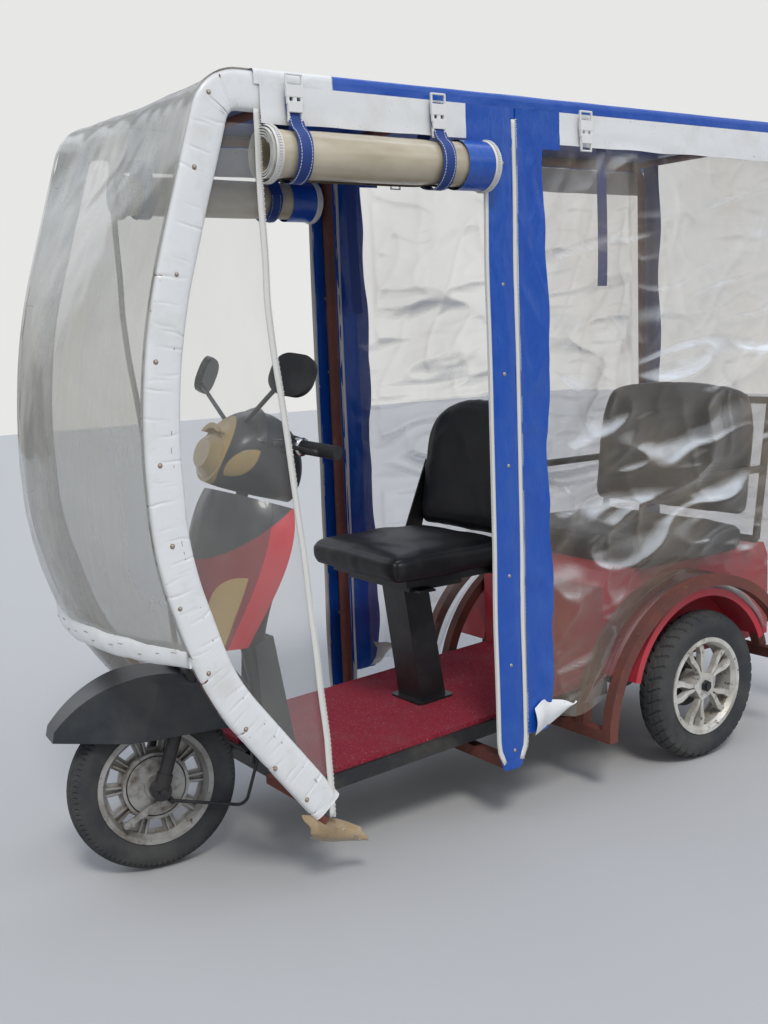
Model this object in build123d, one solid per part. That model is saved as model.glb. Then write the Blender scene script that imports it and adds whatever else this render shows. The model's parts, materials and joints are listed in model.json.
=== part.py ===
from build123d import *
import os
from math import atan2, cos, degrees, radians, sin

# Covered electric tricycle with a driver's seat, a rear bench and a vinyl cabin.
# Millimetres. X points forward, Y to the vehicle's left and Z up. Everything is drawn from the
# rear axle's centre line on the ground, then moved so that the origin lies under the box's middle.
ORIGIN_AHEAD_OF_REAR_AXLE = 587.5

GAP = 0.3

# Wheels
WHEELBASE = 1530.0
TRACK = 686.0
REAR_TYRE_R = 213.5
REAR_TYRE_W = 84.0
FRONT_TYRE_R = 203.5
FRONT_TYRE_W = 78.0
RIM_FLANGE_R = 140.0
BEAD_R = 128.0
BARREL_R = 119.0
FLANGE_T = 4.0
LIP_W = 12.0
REAR_AXLE_R = 10.0
FRONT_AXLE_R = 7.5
RUNNING_FIT = 0.05
SPOKE_PAIRS = 5

# Steering: axis leaning back by RAKE, the axle ahead of it by FORK_OFFSET
RAKE = 20.0
FORK_OFFSET = 35.0
STEER_AT_REST = -9.0
FORK_HALF = 66.0
FORK_LEG_R = 16.0
CROWN_HEIGHT = 290.0
HEAD_TUBE_FROM = 470.0
HEAD_TUBE_TO = 640.0
HEAD_TUBE_R = 26.0
STEM_R = 15.0

FENDER_TIP = 306.0
FENDER_TIP_LOW = 62.0
FRONT_FENDER_HALF = 90.0
# Mirrors: side, turn, half spread and height, each set by its rider
MIRRORS = [(1, 35.0, 306.0, 988.0), (-1, 35.0, 306.0, 1012.0)]

# Leg shield: height, front X, rim X and half width of four level sections
SHIELD_TOP = 713.0
FRONT_PANEL_HALF = 78.0
SHIELD_WALL = 5.0
SHIELD = [(514, 1412, 1322, 96), (640, 1398, 1275, 152), (790, 1376, 1226, 176),
          (900, 1326, 1212, 120)]
INNER_DEPTH = (100.0, 78.0, 60.0, 46.0)
# Handlebar cover: x, middle height, half height and half width of its sections
COWL = [(-118, 786, 56, 52), (-60, 818, 92, 98), (30, 822, 100, 124), (104, 792, 66, 92)]
VISOR_T = 5.0
VISOR_BACK = 20.0
VISOR_REACH = 14.0
VISOR_LOW = 846.0
LAMP_H = 60.0
LAMP_HALF = 86.0
LAMP_DEPTH = 22.0
GRIP_HEIGHT = 850.0
GRIP_REACH = 335.0
GRIP_R = 16.0
BAR_R = 11.0
BAR_STRAIGHT = 130.0
BAR_BEND_Y = 240.0
LEVER_Y = 205.0
LEVER_R = 5.0
CABLE_R = 4.0
CABLE_DROP = 25.0
CABLE_REACH = 188.0
DRUM_R = 80.0
DRUM_PLATE_R = 70.0

# Floor and chassis
FLOOR_FRONT_X = 1268.0
FLOOR_REAR_X = 285.0
FLOOR_FRONT_Z = 212.0
FLOOR_REAR_Z = 262.0
FLOOR_HALF = 268.0
FLOOR_T = 3.0
FLOOR_RIM = 36.0
CARPET_T = 12.0
RAIL_HALF = 150.0
RAIL_W = 36.0
RAIL_H = 44.0
TUNNEL_REAR_X = 1174.0
TUNNEL_FRONT_X = 1256.0
TUNNEL_HALF = 72.0
TUNNEL_TOP = 512.0
TUNNEL_TOP_HALF = 34.0
TUNNEL_TOP_REAR_X = 1204.0
TUNNEL_WALL = 4.0
DOWN_TUBE_R = 22.0

# Cabin
CABIN_HALF = 380.0
ROOF_Z = 1776.0
ROOF_REAR_X = -588.0
ROOF_T = 3.0
ROOF_LIP = 86.0
TUBE_R = 13.0
BOW_BAND = 80.0
BOW_T = 32.0
BOW_OUTLINE = [(1190.0, 1776.0), (1490.0, 1776.0), (1667.0, 1200.0),
               (1655.0, 800.0), (1560.0, 500.0), (1309.0, 170.0)]
BOW_RADII = [110.0, 1400.0, 800.0, 600.0]
POST_X = 735.0
REAR_POST_X = -545.0
POST_R = 15.0
POST_FOOT_Z = 150.0
SHEET_T = 1.5
STRIP_T = 2.0
HEM_Z = 575.0
HEM_H = 50.0
HEM_T = 14.0
WINDSHIELD_BULGE = 85.0
APRON_INNER_Y = 215.0
DOOR_ROLL_R = 54.0
DOOR_ROLL_Z = ROOF_Z - 164
DOOR_ROLL_FRONT_X = 1360.0
DOOR_ROLL_REAR_X = 777.0
VALANCE_TOP = ROOF_Z - 31
VALANCE_BOTTOM = VALANCE_TOP - 73
COVER_HALF_W = 40.0
CURTAIN_FRONT_X = 690.0
CURTAIN_BOTTOM = 240.0
BORDER_W = 88.0
PANEL_EDGE = [(1372.0, 1668.0), (1368.0, 1320.0), (1320.0, 898.0), (1268.0, 246.0)]

# Wheel guards: two hoops of square tube each side
GUARD_R = 382.0
GUARD_X = 30.0
GUARD_Z = 145.0
GUARD_TUBE = 30.0
GUARD_FROM = 5.0
GUARD_TO = 163.0
GUARD_OUTER_Y = 400.0
GUARD_INNER_Y = 300.0

# Rear body and fenders
BODY_HALF = 255.0
BODY_FRONT_X = 285.0
BODY_REAR_X = -430.0
BODY_FLOOR_Z = 270.0
BODY_TOP_Z = 560.0
BODY_WALL = 4.0
PLATE_HOLES = 150.0
PLATE_HOLES_Z = 420.0
PLATE_HOLE_R = 3.25
SPRING_REACH = 130.0
SPRING_Y = 106.0
SPRING_CAMBER = 12.0
LEAF_T = 6.0
AXLE_TUBE_R = 27.0
FENDER_R = 284.0
FENDER_X = 18.0
FENDER_OUTER_Y = 383.0
FENDER_T = 3.0

# Seats
SEAT_HALF = 205.0
SEAT_FRONT_X = 950.0
SEAT_REAR_X = 560.0
SEAT_Z = 624.0
SEAT_H = 78.0
SEAT_BACK_H = 330.0
SEAT_BACK_Z = 892.0
PEDESTAL_X = 728.0
PEDESTAL_LEAN = 47.0
PEDESTAL_LENGTH = 84.0
PEDESTAL_W = 104.0
BENCH_HALF = 300.0
BENCH_FRONT_X = 170.0
BENCH_REAR_X = -270.0
BENCH_H = 90.0
BENCH_BACK_H = 400.0
BENCH_TUBE_R = 11.0


def side_plate(outline, y_low, y_high):
    """Closed outline of X and Z, as thick as from y_low to y_high."""
    return extrude(Plane.XZ.offset(-y_low) * outline, amount=y_low - y_high)


def block(x_low, x_high, y_low, y_high, z_low, z_high):
    """Rectangular block between its lowest and highest corners."""
    size = (x_high - x_low, y_high - y_low, z_high - z_low)
    middle = ((x_high + x_low) / 2, (y_high + y_low) / 2, (z_high + z_low) / 2)
    return Pos(*middle) * Box(*size)


def rod(start, end, radius):
    """Round bar from one point to another."""
    line = Line(start, end)
    return extrude(Plane(origin=line @ 0, z_dir=line % 0) * Circle(radius), amount=line.length)


def bent_bar(points, radius, section, x_dir=(0, 1, 0)):
    """Section swept along straight runs that tangent arcs join."""
    path = FilletPolyline(*points, radius=radius)
    return sweep(Plane(origin=path @ 0, x_dir=x_dir, z_dir=path % 0) * section, path=path)


def mirrored(shape):
    """The same shape on the vehicle's right side."""
    return mirror(shape, about=Plane.XZ)


def at_x(table, z):
    """X of a chain of (X, Z) points at height z, between the two points around it."""
    for (x_a, z_a), (x_b, z_b) in zip(table, table[1:]):
        if min(z_a, z_b) <= z <= max(z_a, z_b) and z_a != z_b:
            return x_a + (x_b - x_a) * (z - z_a) / (z_b - z_a)
    return table[-1][0]


def parallel_chain(points, distance):
    """Chain of points moved sideways by a distance, towards the cabin's inside."""
    moved = []
    for i, (x, z) in enumerate(points):
        before = points[max(i - 1, 0)]
        after = points[min(i + 1, len(points) - 1)]
        into = Vector(x - before[0], z - before[1]).normalized() if i else None
        out = Vector(after[0] - x, after[1] - z).normalized() if i < len(points) - 1 else into
        into = into or out
        normal = Vector(into.Y + out.Y, -into.X - out.X).normalized()
        stretch = distance / (normal.X * into.Y - normal.Y * into.X)
        moved.append((x + normal.X * stretch, z + normal.Y * stretch))
    return moved


def floor_z(x):
    """Height of the floor's top, which rises a little towards the rear."""
    share = (FLOOR_FRONT_X - x) / (FLOOR_FRONT_X - FLOOR_REAR_X)
    return FLOOR_FRONT_Z + (FLOOR_REAR_Z - FLOOR_FRONT_Z) * share


def rail_z(x):
    """Height of a rail's middle under the floor."""
    return floor_z(x) - FLOOR_T - GAP - RAIL_H / 2


# Steering frame: Z along the steering axis, X ahead of it, the front axle at X = FORK_OFFSET
lean = radians(RAKE)
steer_origin = Vector(WHEELBASE - FORK_OFFSET * cos(lean), 0, FRONT_TYRE_R - FORK_OFFSET * sin(lean))
steer_plane = Plane(origin=steer_origin, x_dir=(cos(lean), 0, sin(lean)),
                    z_dir=(-sin(lean), 0, cos(lean)))
steer_straight = Location(steer_plane)
steer_turned = steer_straight * Location((0, 0, 0), (0, 0, STEER_AT_REST))


def steer_axis(height):
    """Point on the steering axis at a length along it from the axle's foot."""
    return steer_origin + Vector(-sin(lean), 0, cos(lean)) * height


# Wheels: revolved about the Y axis at the origin, then placed
def tyre(radius, width):
    half = width / 2
    seat_half = half - 9
    side_r = BEAD_R + (radius - BEAD_R) * 0.52
    shoulder_r = radius - 15
    left = [
        Line((BEAD_R, seat_half), (RIM_FLANGE_R, seat_half)),
        ThreePointArc((RIM_FLANGE_R, seat_half), (side_r, half), (shoulder_r, half - 6)),
    ]
    crown = ThreePointArc((shoulder_r, half - 6), (radius, 0), (shoulder_r, 6 - half))
    right = [edge.mirror(Plane.XZ) for edge in left]
    seat = Line((BEAD_R, seat_half), (BEAD_R, -seat_half))
    return revolve(make_face([*left, crown, *right, seat]), Axis.Y)


def rim_barrel(width):
    half = width / 2 - 9
    outer = half + FLANGE_T
    lip_r = RIM_FLANGE_R - LIP_W
    chain = [(BARREL_R, -half + 10), (lip_r, -outer), (RIM_FLANGE_R, -outer), (RIM_FLANGE_R, -half),
             (BEAD_R, -half), (BEAD_R, half), (RIM_FLANGE_R, half), (RIM_FLANGE_R, outer),
             (lip_r, outer), (BARREL_R, half - 10)]
    return revolve(make_face(Polyline(*chain, close=True)), Axis.Y)


def wheel_hole(radius, width):
    return Rot(90, 0, 0) * Cylinder(radius, width * 2)


def rear_rim():
    """Cast wheel: five pairs of bent spokes from a five-sided hub."""
    half = REAR_TYRE_W / 2 - 5
    hub = Rot(90, 0, 0) * extrude(RegularPolygon(44, SPOKE_PAIRS), amount=half * 0.8, both=True)
    hub += Pos(0, -6, 0) * (Rot(90, 0, 0) * Cylinder(34, 2 * half - 12))
    spoke = make_face(Polyline((34, 7), (62, 15), (92, 30), (114, 32), (120, 22), (120, 15),
                               (96, 15), (64, 3), (34, 2), close=True))
    pair = extrude(spoke + mirror(spoke, about=Plane.XZ), amount=9, both=True)
    pair = Pos(0, half - 18, 0) * (Rot(90, 0, 0) * pair)
    wheel = rim_barrel(REAR_TYRE_W) + hub
    for i in range(SPOKE_PAIRS):
        wheel += Rot(0, i * 360 / SPOKE_PAIRS, 0) * pair
    return wheel - wheel_hole(REAR_AXLE_R + RUNNING_FIT, REAR_TYRE_W)


def front_rim():
    """Cast wheel with a drum hub: a web between hub and barrel with windows between rib pairs."""
    half = FRONT_TYRE_W / 2
    drum = Rot(90, 0, 0) * Cylinder(DRUM_R, 2 * half - 20)
    drum -= Pos(0, half - 10, 0) * (Rot(90, 0, 0) * Cylinder(DRUM_PLATE_R + 3, 44))
    web = Rot(90, 0, 0) * (Cylinder(BARREL_R + 1, 8) - Cylinder(DRUM_R - 1, 8))
    window = Rot(90, 0, 0) * extrude(
        make_face(Polyline((86, 13), (112, 19), (112, -19), (86, -13), close=True)), 10, both=True)
    rib = Rot(90, 0, 0) * Pos(98, 0, 0) * Box(44, 4, 34)
    wheel = rim_barrel(FRONT_TYRE_W) + drum + web
    count = 2 * SPOKE_PAIRS
    for i in range(count):
        wheel -= Rot(0, i * 360 / count, 0) * window
    for i in range(count):
        for turn in (-4, 4):
            wheel += Rot(0, (i + 0.5) * 360 / count + turn, 0) * rib
    return wheel - wheel_hole(FRONT_AXLE_R + RUNNING_FIT, FRONT_TYRE_W)


# Steering pieces, drawn in the steering frame
def fork():
    leg_top = CROWN_HEIGHT + 30
    pieces = Pos(FORK_OFFSET, 0, 0) * (Rot(90, 0, 0) * Cylinder(FRONT_AXLE_R, 2 * FORK_HALF + 44))
    for side in (1, -1):
        y = side * FORK_HALF
        pieces += rod((FORK_OFFSET, y, 20), (FORK_OFFSET, y, leg_top), FORK_LEG_R)
        pieces += rod((FORK_OFFSET, y - side * 12, 0), (FORK_OFFSET, y + side * 12, 0), 24)
        pieces += rod((FORK_OFFSET, y, 0), (FORK_OFFSET, y, 40), 19)
        pieces += rod((FORK_OFFSET, y, 170), (FORK_OFFSET, side * (FRONT_FENDER_HALF - 3 - GAP), 170), 8)
    pieces += block(-24, FORK_OFFSET + 24, -FORK_HALF - 22, FORK_HALF + 22,
                    CROWN_HEIGHT, CROWN_HEIGHT + 26)
    pieces += rod((0, 0, CROWN_HEIGHT), (0, 0, GRIP_HEIGHT - BAR_R - GAP), STEM_R)
    return pieces


def brake_plate():
    """Drum brake's back plate on the wheel's left side, with its arm."""
    face = FRONT_TYRE_W / 2 - 10
    plate = Rot(90, 0, 0) * Cylinder(DRUM_PLATE_R, 10)
    plate = Pos(0, face - 5, 0) * plate + Pos(0, face + 4, 0) * (Rot(90, 0, 0) * Cylinder(30, 8))
    pivot = (-16, 0, -34)
    arm_end = (52, 0, -98)
    arm = rod((pivot[0], face, pivot[2]), (pivot[0], face + 20, pivot[2]), 9)
    link = make_face(Polyline((pivot[0] - 5, pivot[2] - 6), (pivot[0] + 6, pivot[2] + 5),
                              (arm_end[0] + 5, arm_end[2] + 4), (arm_end[0] - 4, arm_end[2] - 5),
                              close=True))
    arm += side_plate(link, face + 11, face + 17)
    arm += rod((arm_end[0], face + 8, arm_end[2]), (arm_end[0], face + 22, arm_end[2]), 8)
    hole = wheel_hole(FRONT_AXLE_R, FRONT_TYRE_W)
    return Pos(FORK_OFFSET, 0, 0) * (plate + arm - hole)


def front_fender():
    """Deep mudguard: curved top, a ridge along each side and straight skirts over the fork."""
    def body(inset):
        back, tip, low = -120 + inset, FENDER_TIP - inset, FENDER_TIP_LOW
        outline = make_face([
            ThreePointArc((back, 232 - inset), (130, 259 - inset), (tip, low + 24)),
            Line((tip, low + 24), (tip - 3, low)),
            Line((tip - 3, low), (144, low + 34)),
            Line((144, low + 34), (-44, low + 100)),
            Line((-44, low + 100), (back, low + 122)),
            Line((back, low + 122), (back, 232 - inset)),
        ])
        side = FRONT_FENDER_HALF - inset
        solid = side_plate(outline, -side, side)
        nose = 38 - inset
        plan = make_face(Polyline((-150, -side), (110, -side), (FENDER_TIP + 4, -nose),
                                  (FENDER_TIP + 4, nose), (110, side), (-150, side), close=True))
        return solid & extrude(plan, amount=400)

    outer = body(0)
    ridge = outer.edges().filter_by(GeomType.CIRCLE).sort_by(Axis.Z)
    outer = chamfer(ridge, 20) if ridge else outer
    inner = body(3)
    inner_ridge = inner.edges().filter_by(GeomType.CIRCLE).sort_by(Axis.Z)
    inner = chamfer(inner_ridge, 20) if inner_ridge else inner
    shell = outer - inner - Pos(0, 0, -3) * inner - Pos(0, 0, -6) * inner
    for y in (FORK_HALF, -FORK_HALF):
        shell -= rod((FORK_OFFSET, y, 0), (FORK_OFFSET, y, 400), FORK_LEG_R + 2)
    return shell


def cowl_section(x, z, half_h, half_w):
    return Plane(origin=(x, 0, z), x_dir=(0, 1, 0), z_dir=(1, 0, 0)) * Ellipse(half_w, half_h)


def cowl():
    """Handlebar cover as a loft of ellipses along X, with a visor lip over the lamp."""
    body = loft(Sketch() + [cowl_section(*row) for row in COWL])
    front_x, front_z, front_h, front_w = COWL[-1]
    tip_x = front_x + VISOR_REACH
    grown = [(x, z, half_h + VISOR_T, half_w + VISOR_T) for x, z, half_h, half_w in COWL]
    grown.append((tip_x, front_z + VISOR_T, front_h + VISOR_T, front_w + VISOR_T))
    hood = loft(Sketch() + [cowl_section(*row) for row in grown])
    hood &= block(VISOR_BACK, tip_x, -2 * front_w, 2 * front_w, VISOR_LOW, VISOR_LOW + 2 * front_h)
    lamp_space = cowl_section(front_x, front_z, LAMP_H + 3, LAMP_HALF + 3)
    body += hood - extrude(lamp_space, amount=VISOR_REACH)
    body -= rod((0, 0, 600), (0, 0, GRIP_HEIGHT), STEM_R + GAP)
    body -= rod((0, -140, GRIP_HEIGHT), (0, 140, GRIP_HEIGHT), BAR_R + GAP)
    return body


def headlamp():
    front_x, front_z = COWL[-1][:2]
    return loft(Sketch() + [cowl_section(front_x, front_z, LAMP_H, LAMP_HALF),
                            cowl_section(front_x + LAMP_DEPTH, front_z, LAMP_H - 24, LAMP_HALF - 30)])


def bar_half():
    """Corners of the bar's left half, from the middle outwards."""
    return [(0, 0, GRIP_HEIGHT), (0, BAR_STRAIGHT, GRIP_HEIGHT), (-25, BAR_BEND_Y, GRIP_HEIGHT),
            (-70, GRIP_REACH, GRIP_HEIGHT)]


def handlebar():
    """Bar through the cover, with its ends swept back."""
    half = None
    for start, end in zip(bar_half(), bar_half()[1:]):
        run = rod(start, end, BAR_R)
        half = run if half is None else half + run
    return half + mirrored(half)


def grips():
    start, end = bar_half()[-2:]
    grip = rod(start, Vector(*end) * 1.02 - Vector(*start) * 0.02, GRIP_R) - handlebar()
    return grip + mirrored(grip)


def mirrors():
    """Rear-view mirrors turned outwards: a rounded head on an arm, one each side."""
    cover = cowl()
    pair = []
    for side, angle, y, height in MIRRORS:
        turn = radians(angle)
        head = Plane(origin=(62, y, height), x_dir=(-sin(turn), cos(turn), 0),
                     z_dir=(cos(turn), sin(turn), 0.12))
        one = extrude(head * RectangleRounded(112, 96, 40), amount=14)
        one += extrude(head * RectangleRounded(104, 88, 36), amount=-4)
        one += rod((60, 56, GRIP_HEIGHT + 30), head.from_local_coords((-26, -26, 7)), 5.5) - cover
        pair.append(one if side > 0 else mirrored(one))
    return pair[0] + pair[1]


def brake_cable():
    """Cable from the brake's back plate round the mudguard's rear to the steering stem."""
    side = FORK_HALF - 2 * CABLE_R
    start_x = FORK_OFFSET - 40
    path = [(start_x, side - 12, -CABLE_DROP), (-CABLE_REACH, side, -8), (-CABLE_REACH, side, 110),
            (-136, side - 8, 226), (-128, side - 12, 268), (-10, 4, CROWN_HEIGHT + 62)]
    cable = bent_bar(path, 26, Circle(CABLE_R), (0, 0, 1))
    cable += rod((start_x, FRONT_TYRE_W / 2 - 10 + GAP, -CABLE_DROP),
                 (start_x, side - 6, -CABLE_DROP), CABLE_R + 3)
    return cable - rod((0, 0, 300), (0, 0, 400), STEM_R + GAP)


def levers():
    """Brake levers: a clamp round the bar inboard of each grip and a blade with a ball end."""
    reach = GRIP_REACH - 8
    perch = rod((-14, LEVER_Y - 11, GRIP_HEIGHT), (-14, LEVER_Y + 11, GRIP_HEIGHT), BAR_R + 6)
    perch += rod((-14, LEVER_Y, GRIP_HEIGHT), (30, LEVER_Y + 4, GRIP_HEIGHT - 6), 9)
    blade = bent_bar([(26, LEVER_Y - 6, GRIP_HEIGHT - 6), (34, LEVER_Y + 34, GRIP_HEIGHT - 8),
                      (-22, reach, GRIP_HEIGHT - 12)], 20, Circle(LEVER_R), (0, 0, 1))
    one = perch + blade + Pos(-22, reach, GRIP_HEIGHT - 12) * Sphere(LEVER_R + 3)
    one -= handlebar()
    return one + mirrored(one)


# Fixed pieces in the vehicle's frame
def neck_x(z):
    """X of the down tube's upper run at a height."""
    top = steer_axis((HEAD_TUBE_FROM + HEAD_TUBE_TO) / 2)
    return at_x([(1238, 400), (top.X - 8, top.Z)], z)


def chassis():
    """Two rails under the floor that step up over the axle, a down tube and the head tube."""
    front_x, back_x = FLOOR_FRONT_X - 6, FLOOR_REAR_X - 25
    rear_z = BODY_FLOOR_Z + 20
    section = Rectangle(RAIL_W, RAIL_H)
    frame = None
    for y in (RAIL_HALF, -RAIL_HALF):
        rail = bent_bar([(front_x, y, rail_z(front_x)), (back_x, y, rail_z(back_x)),
                         (175, y, rear_z), (REAR_POST_X - 20, y, rear_z)], [60, 60], section)
        frame = rail if frame is None else frame + rail
    for x, z in ((front_x - 18, rail_z(front_x)), (POST_X, rail_z(POST_X)),
                 (FLOOR_REAR_X + 20, rail_z(FLOOR_REAR_X + 20)), (REAR_POST_X - 2, rear_z)):
        frame += block(x - 18, x + 18, -RAIL_HALF, RAIL_HALF, z - 16, z + 16)
    spring_top = REAR_TYRE_R + AXLE_TUBE_R + 3 * LEAF_T + SPRING_CAMBER + 2 * GAP
    for x in (SPRING_REACH - 5, 5 - SPRING_REACH):
        frame += block(x - 15, x + 15, -RAIL_HALF, RAIL_HALF, spring_top, rear_z + 16)
    carried = BODY_HALF - BODY_WALL - GAP
    for x in (SPRING_REACH + 40, BODY_REAR_X + 60):
        frame += block(x - 15, x + 15, -carried, carried, rear_z - 12, rear_z + 16)
    z, _, rim, _ = SHIELD[1]
    frame += rod((neck_x(z), 0, z), (rim - INNER_DEPTH[1] + SHIELD_WALL + 1.6, 0, z), 8)
    neck = steer_axis((HEAD_TUBE_FROM + HEAD_TUBE_TO) / 2)
    frame += bent_bar([(front_x - 18, 0, rail_z(front_x)), (1238, 0, 400), (neck.X - 8, 0, neck.Z)],
                      130, Circle(DOWN_TUBE_R))
    frame += rod(steer_axis(HEAD_TUBE_FROM), steer_axis(HEAD_TUBE_TO), HEAD_TUBE_R)
    frame -= rod(steer_axis(0), steer_axis(HEAD_TUBE_TO + 50), STEM_R + RUNNING_FIT)
    return frame


def floor_deck():
    """Pressed floor plate with a turned-down rim."""
    def slope(top, depth):
        front, back = floor_z(FLOOR_FRONT_X) - top, floor_z(FLOOR_REAR_X) - top
        return make_face(Polyline((FLOOR_FRONT_X, front), (FLOOR_REAR_X, back),
                                  (FLOOR_REAR_X, back - depth), (FLOOR_FRONT_X, front - depth),
                                  close=True))
    deck = side_plate(slope(0, FLOOR_T), -FLOOR_HALF, FLOOR_HALF)
    deck -= block(FLOOR_FRONT_X - 60, FLOOR_FRONT_X + 1, -26, 26, FLOOR_FRONT_Z - 20, FLOOR_FRONT_Z + 20)
    for low, high in ((FLOOR_HALF - FLOOR_T, FLOOR_HALF), (-FLOOR_HALF, FLOOR_T - FLOOR_HALF)):
        deck += side_plate(slope(0, FLOOR_RIM), low, high)
    return deck


def floor_carpet():
    edge = 10
    front_x, back_x = FLOOR_FRONT_X - edge, FLOOR_REAR_X + 4
    front, back = floor_z(front_x) + GAP, floor_z(back_x) + GAP
    outline = Polyline((front_x, front), (back_x, back), (back_x, back + CARPET_T),
                       (front_x, front + CARPET_T), close=True)
    mat = side_plate(make_face(outline), edge - FLOOR_HALF, FLOOR_HALF - edge)
    notch = TUNNEL_HALF + edge
    return mat - block(TUNNEL_REAR_X - 6, FLOOR_FRONT_X, -notch, notch, front - 20, front + 60)


def leg_shield_sections(inset, behind):
    """Crescents at four heights: (height, front X, rim X, half width)."""
    faces = []
    for z, front, rim, half in SHIELD:
        arc = ThreePointArc((rim, -half + inset), (front - inset, 0), (rim, half - inset))
        back = [Line((rim, half - inset), (rim - behind, half - inset)),
                Line((rim - behind, half - inset), (rim - behind, inset - half)),
                Line((rim - behind, inset - half), (rim, inset - half))]
        faces.append(Pos(0, 0, z) * make_face([arc, *back]))
    return loft(Sketch() + faces, ruled=False)


def leg_shield():
    return leg_shield_sections(0, 14) - leg_shield_sections(SHIELD_WALL, 60) - above_shield()


def above_shield():
    """Space over the shields, parallel to the handlebar cover's underside."""
    return steer_straight * block(-400, 400, -300, 300, SHIELD_TOP, SHIELD_TOP + 400)


def inner_shield():
    """Panel between the leg shield's rims that closes it towards the driver."""
    def sections(inset):
        faces = []
        for (z, _, rim, shield_half), depth in zip(SHIELD, INNER_DEPTH):
            half = shield_half - SHIELD_WALL - GAP
            arc = ThreePointArc((rim, -half + inset), (rim - depth + inset, 0), (rim, half - inset))
            close = Line((rim, half - inset), (rim, inset - half))
            faces.append(Pos(0, 0, z) * make_face([arc, close]))
        return loft(Sketch() + faces)
    return sections(0) - Pos(1, 0, 0) * sections(4) - above_shield()


def tunnel():
    """Tapered cover behind the down tube, from the floor to the inner shield."""
    def body(inset, low, high):
        levels = [(low, TUNNEL_REAR_X, TUNNEL_HALF), (high, TUNNEL_TOP_REAR_X, TUNNEL_TOP_HALF)]
        faces = []
        for z, rear_x, half in levels:
            length = TUNNEL_FRONT_X - rear_x
            middle = (TUNNEL_FRONT_X + rear_x) / 2 + inset
            faces.append(Plane(origin=(middle, 0, z)) * Rectangle(length, 2 * (half - inset)))
        return loft(Sketch() + faces)
    low = floor_z(TUNNEL_REAR_X) + GAP
    return body(0, low, TUNNEL_TOP) - body(TUNNEL_WALL, low, TUNNEL_TOP)


def seat_pedestal():
    """Leaning box column on a small foot plate, from the carpet to the seat's pan."""
    base_z = floor_z(PEDESTAL_X) + CARPET_T + 2 * GAP
    slope = degrees(atan2(FLOOR_REAR_Z - FLOOR_FRONT_Z, FLOOR_FRONT_X - FLOOR_REAR_X))
    plate = RectangleRounded(PEDESTAL_LENGTH + 34, PEDESTAL_W + 34, 12)
    base = Pos(PEDESTAL_X, 0, base_z) * Rot(0, slope, 0) * extrude(plate, amount=6)
    low = Plane(origin=(PEDESTAL_X, 0, base_z + 3)) * Rectangle(PEDESTAL_LENGTH, PEDESTAL_W)
    top = Plane(origin=(PEDESTAL_X + PEDESTAL_LEAN, 0, SEAT_Z - 40))
    high = top * Rectangle(PEDESTAL_LENGTH - 4, PEDESTAL_W - 4)
    return base + loft(Sketch() + [low, high])


def seat_frame():
    """Pan under the driver's cushion with slide rails, a lever and the backrest's side arms."""
    rear, front = SEAT_REAR_X + 10, SEAT_FRONT_X - 60
    frame = block(rear, front, -170, 170, SEAT_Z - 20, SEAT_Z - GAP)
    frame -= block(rear + 50, front - 35, -130, 130, SEAT_Z - 30, SEAT_Z + 1)
    frame += block(690, 860, -140, 140, SEAT_Z - 40, SEAT_Z - 20)
    frame += block(800, 850, 20, 172, SEAT_Z - 40, SEAT_Z - 34)
    arm = Polyline((rear + 50, SEAT_Z - 20), (rear + 50, SEAT_Z + 40), (rear - 40, SEAT_Z + 250),
                   (rear - 72, SEAT_Z + 240), (rear - 10, SEAT_Z + 40), (rear - 10, SEAT_Z - 20),
                   close=True)
    low = SEAT_HALF + 2
    side = side_plate(make_face(arm), low, low + 6)
    side += block(rear, rear + 50, 160, low + 6, SEAT_Z - 20, SEAT_Z - 14)
    return frame + side + mirrored(side)


def pad(x, y, z, length, width, height, turn, radius):
    """Cushion: a block with rounded sides, centred at a point and tipped about Y."""
    body = extrude(RectangleRounded(length, width, radius), amount=height / 2, both=True)
    body = fillet(body.faces().filter_by(Axis.Z).edges(), min(height, radius) * 0.4)
    return Pos(x, y, z) * Rot(0, turn, 0) * body


def back_pad(x, z, thickness, width, height, turn, radius):
    """Backrest: an upright cushion with round upper and lower corners, tipped about Y."""
    upright = Plane(origin=(0, 0, 0), x_dir=(0, 0, 1), z_dir=(1, 0, 0))
    body = extrude(upright * RectangleRounded(height, width, radius), amount=thickness / 2, both=True)
    body = fillet(body.faces().filter_by(Axis.X).edges(), thickness * 0.3)
    return Pos(x, 0, z) * Rot(0, turn, 0) * body


def rear_body():
    """Body tub under the bench: front panel, sides, top and back, open below."""
    def outline(inset):
        return make_face(Polyline(
            (BODY_FRONT_X - inset, BODY_FLOOR_Z - inset), (BODY_FRONT_X - inset, 525 - inset / 2),
            (BODY_FRONT_X - 32 - inset / 2, BODY_TOP_Z - inset),
            (BODY_REAR_X + 20 + inset / 2, BODY_TOP_Z - inset),
            (BODY_REAR_X + inset, 520 - inset / 2), (BODY_REAR_X + inset, BODY_FLOOR_Z - inset),
            close=True))
    outer = side_plate(outline(0), -BODY_HALF, BODY_HALF)
    inner = side_plate(outline(BODY_WALL), BODY_WALL - BODY_HALF, BODY_HALF - BODY_WALL)
    body = outer - inner - Pos(0, 0, -BODY_WALL) * inner
    slot = RAIL_HALF + RAIL_W / 2 + 4
    body -= block(BODY_REAR_X - 5, BODY_REAR_X + 10, -slot, slot,
                  BODY_FLOOR_Z - 10, BODY_FLOOR_Z + 20 + RAIL_H / 2 + 4)
    for y in (PLATE_HOLES / 2, -PLATE_HOLES / 2):
        body -= rod((BODY_REAR_X - 5, y, PLATE_HOLES_Z), (BODY_REAR_X + 10, y, PLATE_HOLES_Z), PLATE_HOLE_R)
    return body


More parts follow.
